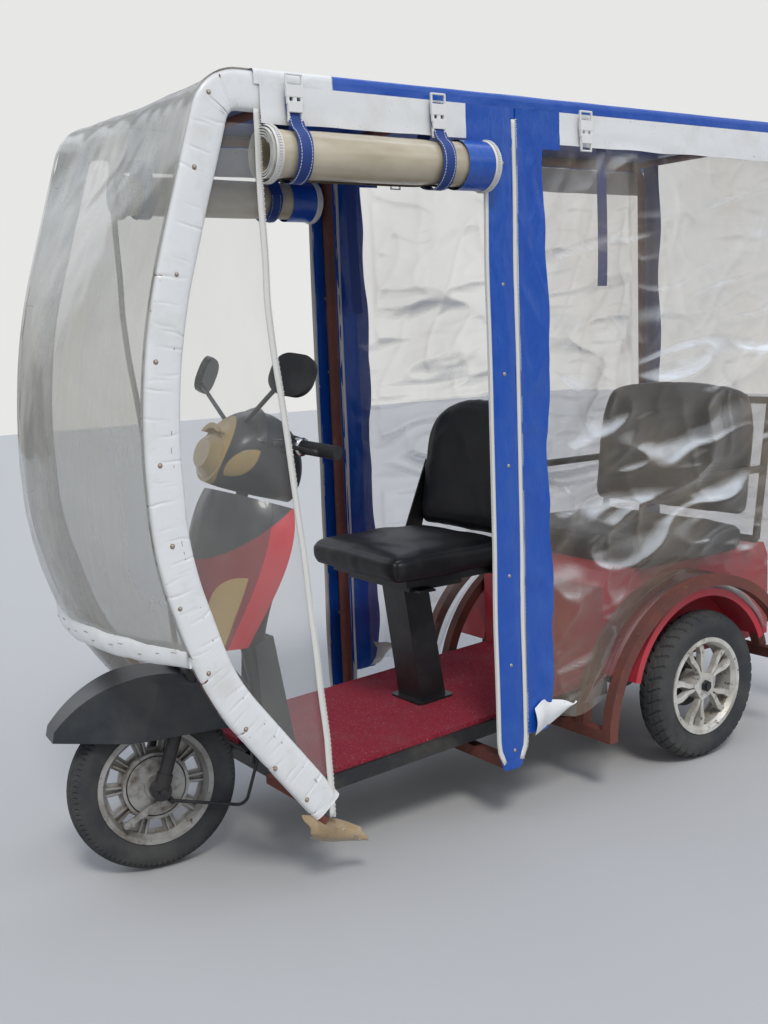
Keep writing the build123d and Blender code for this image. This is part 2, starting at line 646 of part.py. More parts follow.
def arc_strip(centre, r_low, r_high, start, end):
    """Part of a ring in X and Z between two angles."""
    def at(radius, angle):
        a = radians(angle)
        return (centre[0] + radius * cos(a), centre[1] + radius * sin(a))
    mid = (start + end) / 2
    return make_face([
        ThreePointArc(at(r_high, start), at(r_high, mid), at(r_high, end)),
        Line(at(r_high, end), at(r_low, end)),
        ThreePointArc(at(r_low, end), at(r_low, mid), at(r_low, start)),
        Line(at(r_low, start), at(r_high, start)),
    ])


def rear_fender():
    centre = (FENDER_X, REAR_TYRE_R)
    top = side_plate(arc_strip(centre, FENDER_R - FENDER_T, FENDER_R, 14, 158),
                     BODY_HALF + GAP, FENDER_OUTER_Y)
    lip = side_plate(arc_strip(centre, FENDER_R - 20, FENDER_R, 14, 158),
                     FENDER_OUTER_Y - FENDER_T, FENDER_OUTER_Y)
    return top + lip


def wheel_guard():
    """Two hoops over the rear wheel, joined at their feet and carried by bars from the rails."""
    centre = (GUARD_X, GUARD_Z)
    half = GUARD_TUBE / 2
    ring = arc_strip(centre, GUARD_R - half, GUARD_R + half, GUARD_FROM, GUARD_TO)
    guard = side_plate(ring, GUARD_OUTER_Y - half, GUARD_OUTER_Y + half)
    guard += side_plate(ring, GUARD_INNER_Y - half, GUARD_INNER_Y + half)
    low = RAIL_HALF - RAIL_W / 2
    for angle, top in ((GUARD_FROM, rail_z(430) - RAIL_H / 2), (GUARD_TO, BODY_FLOOR_Z + 20 - RAIL_H / 2)):
        x = GUARD_X + GUARD_R * cos(radians(angle))
        z = GUARD_Z + GUARD_R * sin(radians(angle))
        guard += block(x - half, x + half, low, GUARD_OUTER_Y + half, z - half - 14, z + half - 14)
        guard += block(x - half, x + half, low, low + RAIL_W, z - 10, top - GAP)
    return guard


def rear_axle():
    """Driven axle: tube, motor with gearbox, brake plates and the wheel nuts."""
    axle = rod((0, -262, REAR_TYRE_R), (0, 262, REAR_TYRE_R), AXLE_TUBE_R)
    axle += rod((0, -70, REAR_TYRE_R), (0, 70, REAR_TYRE_R), 70)
    for side in (1, -1):
        inner, outer = side * 262, side * (TRACK / 2 - 38)
        axle += rod((0, inner, REAR_TYRE_R), (0, outer, REAR_TYRE_R), 40)
        axle += rod((0, side * 284, REAR_TYRE_R), (0, outer, REAR_TYRE_R), 74)
        axle += rod((0, outer, REAR_TYRE_R), (0, side * (TRACK / 2 + 44), REAR_TYRE_R), REAR_AXLE_R)
        nut = Plane(origin=(0, side * (TRACK / 2 + 30 + GAP), REAR_TYRE_R), z_dir=(0, side, 0))
        axle += extrude(nut * RegularPolygon(17, 6), amount=9)
    return axle


def rear_springs():
    """Leaf springs between the axle and the frame's cross bars, the shorter leaves below."""
    seat = REAR_TYRE_R + AXLE_TUBE_R + GAP
    springs = []
    for y in (SPRING_Y, -SPRING_Y):
        spring = None
        for i in range(3):
            reach = SPRING_REACH * (i + 2) / 4
            z = seat + i * LEAF_T
            rise = SPRING_CAMBER * (reach / SPRING_REACH) ** 2
            low = ThreePointArc((-reach, z + rise), (0, z), (reach, z + rise))
            high = ThreePointArc((reach, z + LEAF_T + rise), (0, z + LEAF_T), (-reach, z + LEAF_T + rise))
            leaf = side_plate(make_face([low, Line(low @ 1, high @ 0), high,
                                         Line(high @ 1, low @ 0)]), y - 17, y + 17)
            spring = leaf if spring is None else spring + leaf
        springs.append(spring)
    return springs[0] + springs[1]


def tail_lamps():
    lamps = None
    for y in (170, -170):
        lamp = Plane(origin=(BODY_REAR_X - GAP, y, 468), x_dir=(0, 1, 0), z_dir=(-1, 0, 0))
        body = extrude(lamp * RectangleRounded(110, 62, 18), amount=26)
        lamps = body if lamps is None else lamps + body
    return lamps


def bench_frame():
    """Tube frame behind the bench with an armrest each side."""
    z = BODY_TOP_Z + GAP
    low_bar, arm_z, high_bar = BODY_TOP_Z + 30, BODY_TOP_Z + 240, BODY_TOP_Z + 440
    low_x, high_x = BENCH_REAR_X - 30, BENCH_REAR_X - 92
    frame = None
    out = BENCH_HALF + BENCH_TUBE_R + GAP
    for y in (out, -out):
        arm = rod((low_x, y, low_bar), (high_x, y, high_bar), BENCH_TUBE_R)
        arm += rod((low_x - 26, y, arm_z), (BENCH_REAR_X + 230, y, arm_z), BENCH_TUBE_R)
        frame = arm if frame is None else frame + arm
    for z_bar, x in ((low_bar, low_x), (high_bar, high_x)):
        frame += rod((x, -out, z_bar), (x, out, z_bar), BENCH_TUBE_R)
    for y in (180, -180):
        frame += block(low_x - 14, low_x + 14, y - 14, y + 14, z, low_bar + 2)
    return frame


# Cabin: tubes first, then the vinyl that they carry
TUBE_INSET = TUBE_R + 1
BOW_FOOT = 24.0
FRONT_BAR_X = FLOOR_FRONT_X + 2
FRONT_BAR_W = 30.0
FRONT_BAR_TOP = FLOOR_FRONT_Z - 6
FRONT_BAR_H = 22.0
TUBE_Y = CABIN_HALF - BOW_T / 2


def canopy_frame():
    bow = parallel_chain(BOW_OUTLINE, TUBE_INSET)
    foot = Vector(*bow[-1]) + (Vector(*bow[-1]) - Vector(*bow[-2])).normalized() * BOW_FOOT
    path = [(REAR_POST_X, 262.0), (REAR_POST_X, ROOF_Z - TUBE_INSET)] + bow[1:-1] + [(foot.X, foot.Y)]
    radii = [60] + [r - TUBE_INSET for r in BOW_RADII]
    frame = None
    for y in (TUBE_Y, -TUBE_Y):
        side = bent_bar([(x, y, z) for x, z in path], radii, Circle(TUBE_R))
        side += rod((POST_X, y, POST_FOOT_Z), (POST_X, y, ROOF_Z - TUBE_INSET), POST_R)
        frame = side if frame is None else frame + side
    rail_top = ROOF_Z - TUBE_INSET
    for x, z in ((1172, rail_top), (POST_X, rail_top), (REAR_POST_X + 60, rail_top)):
        frame += rod((x, -TUBE_Y, z), (x, TUBE_Y, z), TUBE_R - 2)
    low = RAIL_HALF + RAIL_W / 2
    for side in (1, -1):
        ends = sorted((side * (RAIL_HALF - 16), side * (TUBE_Y + 13)))
        rail_bottom = rail_z(POST_X + 15) - RAIL_H / 2 - GAP
        frame += block(POST_X - 15, POST_X + 15, *ends, POST_FOOT_Z, POST_FOOT_Z + 28)
        frame += block(POST_X - 15, POST_X + 15, *sorted((side * (RAIL_HALF - 16),
                       side * (RAIL_HALF + 16))), POST_FOOT_Z + 20, rail_bottom)
        bar_low = FRONT_BAR_TOP - FRONT_BAR_H
        reach = sorted((side * (RAIL_HALF - 16), side * TUBE_Y))
        frame += block(FRONT_BAR_X, FRONT_BAR_X + FRONT_BAR_W, *reach, bar_low, FRONT_BAR_TOP)
        frame += block(FLOOR_FRONT_X - 6 + 1.4, FRONT_BAR_X + 10,
                       *sorted((side * (RAIL_HALF - 16), side * (RAIL_HALF + 16))), bar_low, FRONT_BAR_TOP)
        rear_z = BODY_FLOOR_Z + 20
        frame += block(REAR_POST_X - 14, REAR_POST_X + 14,
                       *sorted((side * (low + GAP), side * TUBE_Y)), rear_z - 14, rear_z + 14)
    return frame


def bow_face(outer, inner):
    """Face between two lines parallel to the bow's outer edge."""
    lines = []
    for distance in (outer, inner):
        chain = parallel_chain(BOW_OUTLINE, distance) if distance else BOW_OUTLINE
        lines.append(FilletPolyline(*chain, radius=[r - distance for r in BOW_RADII]))
    return make_face([lines[0], Line(lines[0] @ 1, lines[1] @ 1), lines[1],
                      Line(lines[1] @ 0, lines[0] @ 0)])


def bow_wrap():
    """Padded vinyl band round the front tube."""
    band = side_plate(bow_face(0, BOW_BAND), CABIN_HALF - BOW_T, CABIN_HALF)
    hollow = side_plate(bow_face(0.5, 2 * TUBE_INSET), TUBE_Y - TUBE_R - GAP, TUBE_Y + TUBE_R + GAP)
    bar_slot = block(FRONT_BAR_X - GAP, FRONT_BAR_X + FRONT_BAR_W + GAP, CABIN_HALF - BOW_T - 1, TUBE_Y + 1,
                     FRONT_BAR_TOP - FRONT_BAR_H - GAP, FRONT_BAR_TOP + GAP)
    return band - hollow - bar_slot


def roof_sheet():
    """Roof vinyl with its turned-down edges, curved down at the front."""
    corner = BOW_OUTLINE[1]
    lip_z = ROOF_Z - ROOF_LIP
    chain = [(ROOF_REAR_X, ROOF_Z), corner, (at_x(BOW_OUTLINE[1:], lip_z), lip_z)]
    low = FilletPolyline(*parallel_chain(chain, -GAP), radius=BOW_RADII[0])
    high = FilletPolyline(*parallel_chain(chain, -GAP - ROOF_T), radius=BOW_RADII[0])
    face = make_face([low, Line(low @ 1, high @ 1), high, Line(high @ 0, low @ 0)])
    out = CABIN_HALF + GAP + STRIP_T
    roof = side_plate(face, -out, out)
    for side in (1, -1):
        ends = sorted((side * (CABIN_HALF + GAP), side * out))
        roof += block(ROOF_REAR_X, BOW_OUTLINE[1][0] - 105, *ends, VALANCE_TOP, ROOF_Z + 1)
    return roof


def strips(table, z_low, z_high):
    """Flat strips against the cabin's left side, each from one X to another."""
    low = CABIN_HALF + GAP
    pieces = [block(x_low, x_high, low, low + STRIP_T, z_low, z_high) for x_low, x_high in table]
    return pieces


def both_sides(pieces):
    whole = None
    for piece in pieces:
        for shape in (piece, mirrored(piece)):
            whole = shape if whole is None else whole + shape
    return whole


def post_cover():
    low = CABIN_HALF + GAP
    cover = Plane.XZ.offset(-low) * (Pos(POST_X, (POST_FOOT_Z + VALANCE_TOP) / 2)
                                     * Rectangle(2 * COVER_HALF_W, VALANCE_TOP - POST_FOOT_Z))
    cover = extrude(cover, amount=-STRIP_T)
    return fillet(cover.edges().filter_by(Axis.Y).sort_by(Axis.Z)[:2], 24)


def quarter_panel():
    """Clear panel between the bow and the zipped edge of the doorway."""
    middle = parallel_chain(BOW_OUTLINE, BOW_BAND / 2)
    outline = make_face(Polyline(*PANEL_EDGE, *reversed(middle[1:]), close=True))
    sheet = side_plate(outline, TUBE_Y - SHEET_T / 2, TUBE_Y + SHEET_T / 2)
    whole = sheet - side_plate(bow_face(0, BOW_BAND + GAP), TUBE_Y - 5, TUBE_Y + 5)
    return whole.solids().sort_by(SortBy.VOLUME)[-1]


def side_curtain():
    """Clear curtain from the border to the back, cut out over the wheel guard."""
    front = CURTAIN_FRONT_X - 20
    outline = make_face(Polyline((front, VALANCE_TOP), (REAR_POST_X - 14, VALANCE_TOP),
                                 (REAR_POST_X - 14, 330), (front, CURTAIN_BOTTOM), close=True))
    arch = Pos(GUARD_X, GUARD_Z) * Circle(GUARD_R + 3)
    sheet = outline - arch
    solid = side_plate(sheet, CABIN_HALF - SHEET_T, CABIN_HALF)
    return solid.solids().sort_by(SortBy.VOLUME)[-1]


def curved_sheet(levels, thickness):
    """Sheet between the bows that bulges forward: (height, bulge)."""
    half = CABIN_HALF - BOW_T - 0.5
    faces = []
    for z, bulge in levels:
        x = at_x(BOW_OUTLINE[1:], z) - 2
        outer = ThreePointArc((x, -half), (x + bulge, 0), (x, half))
        inner = ThreePointArc((x - thickness, half), (x + bulge - thickness, 0),
                              (x - thickness, -half))
        faces.append(Pos(0, 0, z) * make_face([outer, Line(outer @ 1, inner @ 0), inner,
                                               Line(inner @ 1, outer @ 0)]))
    return loft(Sketch() + faces)


def windshield():
    low = HEM_Z + HEM_H
    high = ROOF_Z - ROOF_LIP - GAP
    levels = []
    for share, bulge in ((0, 1.0), (0.3, 0.98), (0.6, 0.72), (0.85, 0.34), (1.0, 0.12)):
        levels.append((low + (high - low) * share, WINDSHIELD_BULGE * bulge))
    return curved_sheet(levels, SHEET_T)


def windshield_hem():
    levels = [(HEM_Z, WINDSHIELD_BULGE), (HEM_Z + HEM_H - GAP, WINDSHIELD_BULGE)]
    return curved_sheet(levels, HEM_T)


def apron():
    """Splash wing between the hem and the floor, on the left of the front wheel."""
    top_x = at_x(BOW_OUTLINE[1:], HEM_Z) + 16
    foot_x, foot_z = FLOOR_FRONT_X + 64, FLOOR_FRONT_Z + 50
    outline = Polyline((top_x, HEM_Z - GAP), (top_x + 2, HEM_Z - GAP), (foot_x + 2, foot_z),
                       (foot_x, foot_z), close=True)
    return side_plate(make_face(outline), APRON_INNER_Y, CABIN_HALF - BOW_T - 0.5)


def door_roll():
    """Rolled-up door: a thick tube of wound vinyl."""
    ends = ((DOOR_ROLL_REAR_X, CABIN_HALF, DOOR_ROLL_Z), (DOOR_ROLL_FRONT_X, CABIN_HALF, DOOR_ROLL_Z))
    return rod(*ends, DOOR_ROLL_R) - rod(*ends, DOOR_ROLL_R - 14)


def door_straps():
    """Straps that hang the door roll from the roof's edge."""
    straps = []
    for x in (1275, 905):
        ring = rod((x, CABIN_HALF, DOOR_ROLL_Z), (x + 34, CABIN_HALF, DOOR_ROLL_Z),
                   DOOR_ROLL_R + GAP + STRIP_T)
        hang_y = CABIN_HALF + 2 * GAP + STRIP_T
        ring += block(x, x + 34, hang_y, hang_y + STRIP_T, DOOR_ROLL_Z + 50, VALANCE_TOP)
        ring -= rod((x - 1, CABIN_HALF, DOOR_ROLL_Z), (x + 36, CABIN_HALF, DOOR_ROLL_Z),
                    DOOR_ROLL_R + GAP)
        straps.append(ring)
    return straps


def back_curtain():
    x = REAR_POST_X - TUBE_R - 5
    return block(x - SHEET_T, x, -CABIN_HALF + SHEET_T, CABIN_HALF - SHEET_T, 330, ROOF_Z)


nodes = {}
front_wheel_place = steer_turned * Location((FORK_OFFSET, 0, 0))
nodes["front_tyre"] = front_wheel_place * tyre(FRONT_TYRE_R, FRONT_TYRE_W)
nodes["front_rim"] = front_wheel_place * front_rim()
for side, name in ((1, "left"), (-1, "right")):
    wheel = Pos(0, side * TRACK / 2, REAR_TYRE_R)
    turn = Rot(0, 0, 0) if side > 0 else Rot(0, 0, 180)
    nodes["rear_tyre_" + name] = wheel * tyre(REAR_TYRE_R, REAR_TYRE_W)
    nodes["rear_rim_" + name] = wheel * turn * rear_rim()
nodes["fork"] = steer_turned * fork()
nodes["brake_plate"] = steer_turned * brake_plate()
nodes["front_fender"] = steer_turned * front_fender()
nodes["head_cowl"] = steer_turned * cowl()
nodes["headlamp"] = steer_turned * headlamp()
nodes["handlebar"] = steer_turned * handlebar()
nodes["grips"] = steer_turned * grips()
nodes["levers"] = steer_turned * levers()
nodes["brake_cable"] = steer_turned * brake_cable()
nodes["mirrors"] = steer_turned * mirrors()

shield = leg_shield()
split = block(SHIELD[-1][2] - 12, SHIELD[0][1] + 38, -FRONT_PANEL_HALF, FRONT_PANEL_HALF, 400, 950)
nodes["leg_shield_front"] = shield & split
nodes["leg_shield_sides"] = shield - split
nodes["inner_shield"] = inner_shield()
nodes["tunnel"] = tunnel()
nodes["chassis"] = chassis()
nodes["floor_deck"] = floor_deck()
nodes["floor_carpet"] = floor_carpet()
nodes["seat_pedestal"] = seat_pedestal()
nodes["seat_frame"] = seat_frame()
nodes["driver_cushion"] = pad((SEAT_FRONT_X + SEAT_REAR_X) / 2, 0, SEAT_Z + SEAT_H / 2,
                              SEAT_FRONT_X - SEAT_REAR_X, 2 * SEAT_HALF, SEAT_H, 0, 60)
nodes["driver_back"] = back_pad(SEAT_REAR_X - 42, SEAT_BACK_Z, 62, 2 * (SEAT_HALF + 2 - GAP), SEAT_BACK_H,
                                -9, 100)
nodes["rear_body"] = rear_body()
nodes["bench_cushion"] = pad((BENCH_FRONT_X + BENCH_REAR_X) / 2, 0, BODY_TOP_Z + GAP + BENCH_H / 2,
                             BENCH_FRONT_X - BENCH_REAR_X, 2 * BENCH_HALF, BENCH_H, 0, 50)
nodes["bench_back"] = back_pad(BENCH_REAR_X - 12, BODY_TOP_Z + 300, 70, 2 * BENCH_HALF, BENCH_BACK_H,
                               -8, 60)
nodes["bench_frame"] = bench_frame()
nodes["rear_axle"] = rear_axle()
nodes["rear_springs"] = rear_springs()
nodes["tail_lamps"] = tail_lamps()
nodes["canopy_frame"] = canopy_frame()
nodes["roof_sheet"] = roof_sheet()
nodes["valances"] = both_sides(strips([(834, 1340), (ROOF_REAR_X, 540)], VALANCE_BOTTOM,
                                      VALANCE_TOP - GAP))
nodes["windshield"] = windshield()
nodes["windshield_hem"] = windshield_hem()
nodes["back_curtain"] = back_curtain()
border = strips([(CURTAIN_FRONT_X - BORDER_W, CURTAIN_FRONT_X)], CURTAIN_BOTTOM, VALANCE_TOP - GAP)[0]
paired = {
    "rear_fender": rear_fender(),
    "wheel_guard": wheel_guard(),
    "bow_wrap": bow_wrap(),
    "quarter_panel": quarter_panel(),
    "post_cover": post_cover(),
    "side_curtain": side_curtain(),
    "curtain_border": border,
    "door_roll": door_roll(),
}
for name, shape in paired.items():
    nodes[name + "_left"] = shape
    nodes[name + "_right"] = mirrored(shape)
nodes["apron"] = both_sides([apron()])
nodes["door_straps"] = both_sides(door_straps())

os.makedirs("parts", exist_ok=True)
to_origin = Pos(-ORIGIN_AHEAD_OF_REAR_AXLE, 0, 0)
for name, shape in nodes.items():
    export_step(to_origin * shape, f"parts/{name}.step")
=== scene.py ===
"""Looks of a covered electric tricycle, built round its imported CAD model."""
import json
from math import atan2, copysign, cos, exp, hypot, pi, radians, sin, sqrt, tan

import bpy
import numpy as np
from mathutils import Matrix, Vector, noise


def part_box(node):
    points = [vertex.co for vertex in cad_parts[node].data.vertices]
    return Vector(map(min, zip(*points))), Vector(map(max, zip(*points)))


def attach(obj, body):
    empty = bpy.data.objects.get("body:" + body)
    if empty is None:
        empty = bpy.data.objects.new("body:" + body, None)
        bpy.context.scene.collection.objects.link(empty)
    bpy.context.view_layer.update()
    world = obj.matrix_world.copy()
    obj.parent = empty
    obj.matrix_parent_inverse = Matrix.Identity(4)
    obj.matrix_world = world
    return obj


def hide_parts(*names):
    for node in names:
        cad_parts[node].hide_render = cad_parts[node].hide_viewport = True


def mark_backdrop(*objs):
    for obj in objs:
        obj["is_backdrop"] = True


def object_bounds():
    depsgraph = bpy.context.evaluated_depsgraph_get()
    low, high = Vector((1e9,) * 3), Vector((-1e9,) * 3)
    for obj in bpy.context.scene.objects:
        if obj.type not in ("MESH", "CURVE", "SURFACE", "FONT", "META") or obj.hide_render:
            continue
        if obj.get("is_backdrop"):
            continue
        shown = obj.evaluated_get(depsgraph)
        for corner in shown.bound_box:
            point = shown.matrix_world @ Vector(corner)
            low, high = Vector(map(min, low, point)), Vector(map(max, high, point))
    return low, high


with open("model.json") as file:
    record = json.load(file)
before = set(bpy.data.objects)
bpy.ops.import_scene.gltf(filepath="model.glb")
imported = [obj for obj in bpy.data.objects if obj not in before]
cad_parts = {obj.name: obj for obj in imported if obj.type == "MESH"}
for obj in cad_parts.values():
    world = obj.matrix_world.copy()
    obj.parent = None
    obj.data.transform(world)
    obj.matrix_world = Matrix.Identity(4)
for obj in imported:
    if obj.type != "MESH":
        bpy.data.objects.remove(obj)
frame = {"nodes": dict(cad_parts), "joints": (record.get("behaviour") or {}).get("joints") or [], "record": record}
size_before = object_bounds()

# Distances along X are measured from the rear axle, whose place comes from the CAD model
axle_low, axle_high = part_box("rear_axle")
AXLE_X = (axle_low.x + axle_high.x) / 2
CABIN_HALF = 0.380
ROOF_Z = 1.776
SIDES = (("left", 1), ("right", -1))


def at(x, y, z):
    return Vector((x + AXLE_X, y, z))


def between(low, high, share):
    return low + (high - low) * share


def clamp(value):
    """The value, held between 0 and 1."""
    return min(1.0, max(0.0, value))


# Camera, as fitted to the photograph
PICTURE_H = 1024
SENSOR_MM = 36.0
FOCAL_PX = 1195.1
HEADING, PITCH, ROLL = (radians(a) for a in (34.85, 8.68, 2.19))
CAMERA_AT = (2.615, 2.560, 1.251)


def add_camera():
    ahead = Vector((-sin(HEADING) * cos(PITCH), -cos(HEADING) * cos(PITCH), -sin(PITCH)))
    right = Vector((-cos(HEADING), sin(HEADING), 0.0))
    down = ahead.cross(right)
    rolled_right = cos(ROLL) * right + sin(ROLL) * down
    rolled_down = cos(ROLL) * down - sin(ROLL) * right
    data = bpy.data.cameras.new("camera")
    data.lens = FOCAL_PX * SENSOR_MM / PICTURE_H
    data.sensor_width = SENSOR_MM
    camera = bpy.data.objects.new("camera", data)
    turn = Matrix((rolled_right, -rolled_down, -ahead)).transposed().to_4x4()
    camera.matrix_world = Matrix.Translation(at(*CAMERA_AT)) @ turn
    bpy.context.scene.collection.objects.link(camera)
    bpy.context.scene.camera = camera


# Materials
class Nodes:
    """A node tree, and the few kinds of node that the materials and the sky are made of."""

    def __init__(self, tree, place):
        self.tree = tree
        self.coords = self.node("ShaderNodeTexCoord").outputs[place]

    def node(self, kind, **values):
        node = self.tree.nodes.new(kind)
        for key, value in values.items():
            if key in node.inputs.keys():
                node.inputs[key].default_value = value
            else:
                setattr(node, key, value)
        return node

    def give(self, socket, value):
        """Sets a socket to a number or colour, or links an output to it."""
        if isinstance(value, bpy.types.NodeSocket):
            self.tree.links.new(value, socket)
        else:
            socket.default_value = (*value, 1.0) if isinstance(value, tuple) else value

    def limits(self, value, low, high, to_low=0.0, to_high=1.0):
        """A value cut to a range and spread over another."""
        node = self.node("ShaderNodeMapRange")
        for name, limit in (("From Min", low), ("From Max", high), ("To Min", to_low), ("To Max", to_high)):
            node.inputs[name].default_value = limit
        self.give(node.inputs["Value"], value)
        return node.outputs["Result"]

    def step(self, value, middle, soft=0.0015):
        """0 to 1 across a narrow band round a value."""
        return self.limits(value, middle - soft, middle + soft)

    def spots(self, scale, low, high, detail=4.0, stretch=(1, 1, 1), rough=0.6, to=(0.0, 1.0)):
        """Noise cut to a range: 0 below low, 1 above high."""
        mapping = self.node("ShaderNodeMapping")
        mapping.inputs["Scale"].default_value = stretch
        self.give(mapping.inputs["Vector"], self.coords)
        noise_map = self.node("ShaderNodeTexNoise", Scale=scale, Detail=detail, Roughness=rough)
        self.give(noise_map.inputs["Vector"], mapping.outputs["Vector"])
        return self.limits(noise_map.outputs["Fac"], low, high, *to)

    def axis(self, name, vector=None):
        """X, Y or Z of a place or direction."""
        split = self.node("ShaderNodeSeparateXYZ")
        self.give(split.inputs["Vector"], self.coords if vector is None else vector)
        return split.outputs[name]

    def beyond(self, point, towards):
        """1 on the side of a plane through point that the direction names, 0 on the other."""
        towards = Vector(towards).normalized()
        dot = self.node("ShaderNodeVectorMath", operation="DOT_PRODUCT")
        self.give(dot.inputs[0], self.coords)
        dot.inputs[1].default_value = towards
        return self.step(dot.outputs["Value"], towards.dot(point))

    def within(self, centre, radius):
        """1 inside a ball round centre, 0 outside."""
        distance = self.node("ShaderNodeVectorMath", operation="DISTANCE")
        self.give(distance.inputs[0], self.coords)
        distance.inputs[1].default_value = centre
        return self.math("SUBTRACT", 1.0, self.step(distance.outputs["Value"], radius))

    def math(self, operation, a, b):
        node = self.node("ShaderNodeMath", operation=operation)
        self.give(node.inputs[0], a)
        self.give(node.inputs[1], b)
        return node.outputs[0]

    def times(self, a, b):
        return self.math("MULTIPLY", a, b)

    def mix(self, share, a, b):
        """Between two colours, each a colour or a socket, or between two numbers."""
        kind, first, out = ("FLOAT", 2, 0) if isinstance(a, float) else ("RGBA", 6, 2)
        node = self.node("ShaderNodeMix", data_type=kind)
        for k, value in ((0, share), (first, a), (first + 1, b)):
            self.give(node.inputs[k], value)
        return node.outputs[out]


class Shader(Nodes):
    """A principled material."""

    def __init__(self, name, rough=0.5, metal=0.0, alpha=1.0, coat=0.0, specular=0.5):
        self.material = bpy.data.materials.new(name)
        self.material.use_nodes = True
        super().__init__(self.material.node_tree, "Object")
        self.inputs = self.tree.nodes["Principled BSDF"].inputs
        for socket, value in (("Roughness", rough), ("Metallic", metal), ("Alpha", alpha),
                              ("Coat Weight", coat), ("Specular IOR Level", specular)):
            self.inputs[socket].default_value = value

    def colour(self, value):
        self.give(self.inputs["Base Color"], value)

    def layer(self, under, scale, low, high, share, over, **shape):
        """One colour with spots of another over it, as strong as share says."""
        spots = self.spots(scale, low, high, **shape)
        return self.mix(spots if share == 1 else self.times(spots, share), under, over)

    def bump(self, height, strength, distance):
        node = self.node("ShaderNodeBump", Strength=strength, Distance=distance)
        self.give(node.inputs["Height"], height)
        self.give(self.inputs["Normal"], node.outputs["Normal"])


BLUE, WORN_BLUE = (0.004, 0.068, 0.38), (0.030, 0.120, 0.40)
WHITE, DIRTY_WHITE = (0.72, 0.73, 0.73), (0.46, 0.42, 0.35)
DARK_GREY, GREY_DIRT = (0.020, 0.023, 0.027), (0.13, 0.12, 0.10)
FRAME_DIRT = (0.20, 0.17, 0.13)
GOLD, WORN_GOLD = (0.50, 0.34, 0.12), (0.36, 0.26, 0.12)
# The roof's vinyl is blue behind this place, and clear ahead of the next one
ROOF_WHITE_X = 1.187
ROOF_FRONT_X = 1.376
PAINT_EDGE_BUMP = (0.5, 0.002)

# Each material: its shader's values, its colour, the layers of spots over it as scale, low, high,
# share and colour, and its bump as scale of the grain, strength and depth
MATERIALS = {
    "tyre_rubber": (dict(rough=0.85), (0.028, 0.031, 0.035), [(9.0, 0.42, 0.72, 0.35, GREY_DIRT)],
                    (160.0, 0.25, 0.001)),
    "cast_alloy": (dict(rough=0.5, metal=0.75), (0.40, 0.395, 0.38),
                   [(30.0, 0.45, 0.7, 1, (0.15, 0.12, 0.095))], (150.0, 0.3, 0.001)),
    "dark_plastic": (dict(rough=0.38), (0.016, 0.021, 0.027), [(7.0, 0.42, 0.75, 0.3, GREY_DIRT)],
                     (300.0, 0.08, 0.001)),
    "lamp_lens": (dict(rough=0.16, alpha=0.88, coat=0.4), (0.52, 0.38, 0.16), [], None),
    "tail_lens": (dict(rough=0.15, coat=0.6), (0.35, 0.008, 0.008), [], None),
    "bar_chrome": (dict(rough=0.22, metal=1.0), (0.66, 0.66, 0.65),
                   [(60.0, 0.6, 0.75, 1, (0.25, 0.17, 0.12))], None),
    "grip_rubber": (dict(rough=0.7), (0.014, 0.014, 0.015), [], None),
    "red_body": (dict(rough=0.42, coat=0.15), (0.46, 0.014, 0.034),
                 [(5.0, 0.4, 0.8, 0.5, (0.34, 0.10, 0.09)), (55.0, 0.66, 0.74, 1, (0.12, 0.05, 0.035))],
                 (90.0, 0.06, 0.001)),
    "red_plastic": (dict(rough=0.28, coat=0.3), (0.46, 0.012, 0.025),
                    [(6.0, 0.45, 0.8, 0.4, (0.36, 0.11, 0.09))], None),
    "spring_steel": (dict(rough=0.5, metal=0.7), (0.10, 0.085, 0.075), [], None),
    "rusty_tube": (dict(rough=0.72), (0.145, 0.042, 0.030),
                   [(8.0, 0.4, 0.7, 1, (0.085, 0.034, 0.026)), (60.0, 0.60, 0.74, 0.45, (0.26, 0.13, 0.07))],
                   (120.0, 0.35, 0.001)),
    "white_vinyl": (dict(rough=0.36, coat=0.15), WHITE,
                    [(14.0, 0.50, 0.80, 0.35, DIRTY_WHITE), (95.0, 0.68, 0.74, 0.8, (0.24, 0.15, 0.09))],
                    (40.0, 0.10, 0.002)),
    "strap_blue": (dict(rough=0.6), (0.010, 0.040, 0.20), [], None),
    "buckle_white": (dict(rough=0.35), (0.72, 0.72, 0.70), [], None),
    "zip_white": (dict(rough=0.6), (0.66, 0.655, 0.62), [], None),
    "rivet": (dict(rough=0.4, metal=0.9), (0.42, 0.38, 0.33), [], None),
    "tail_vinyl": (dict(rough=0.2, alpha=0.86, coat=0.4), (0.34, 0.24, 0.12),
                   [(14.0, 0.4, 0.7, 1, (0.20, 0.13, 0.065))], None),
    "rust_stain": (dict(rough=0.8), (0.26, 0.17, 0.11), [], None),
    "crack": (dict(rough=0.9), (0.17, 0.12, 0.085), [], None),
}
for name, rough, colour, dirt in (("black_frame", 0.42, (0.009, 0.010, 0.012), 0.14),
                                  ("fork_black", 0.4, (0.012, 0.013, 0.015), 0.20),
                                  ("floor_steel", 0.55, (0.016, 0.017, 0.019), 0.35),
                                  ("black_plastic", 0.42, (0.010, 0.011, 0.013), 0.16)):
    MATERIALS[name] = (dict(rough=rough), colour, [(12.0, 0.45, 0.8, dirt, FRAME_DIRT)],
                       (240.0, 0.12, 0.001))
for name, colour, dull in (("wheel_alloy", (0.66, 0.65, 0.61), (0.36, 0.33, 0.27)),
                           ("front_alloy", (0.36, 0.355, 0.34), (0.15, 0.125, 0.10))):
    MATERIALS[name] = (dict(rough=0.42, metal=0.35), colour,
                       [(11.0, 0.42, 0.68, 1, dull), (60.0, 0.60, 0.70, 1, (0.10, 0.075, 0.055))],
                       (180.0, 0.2, 0.001))


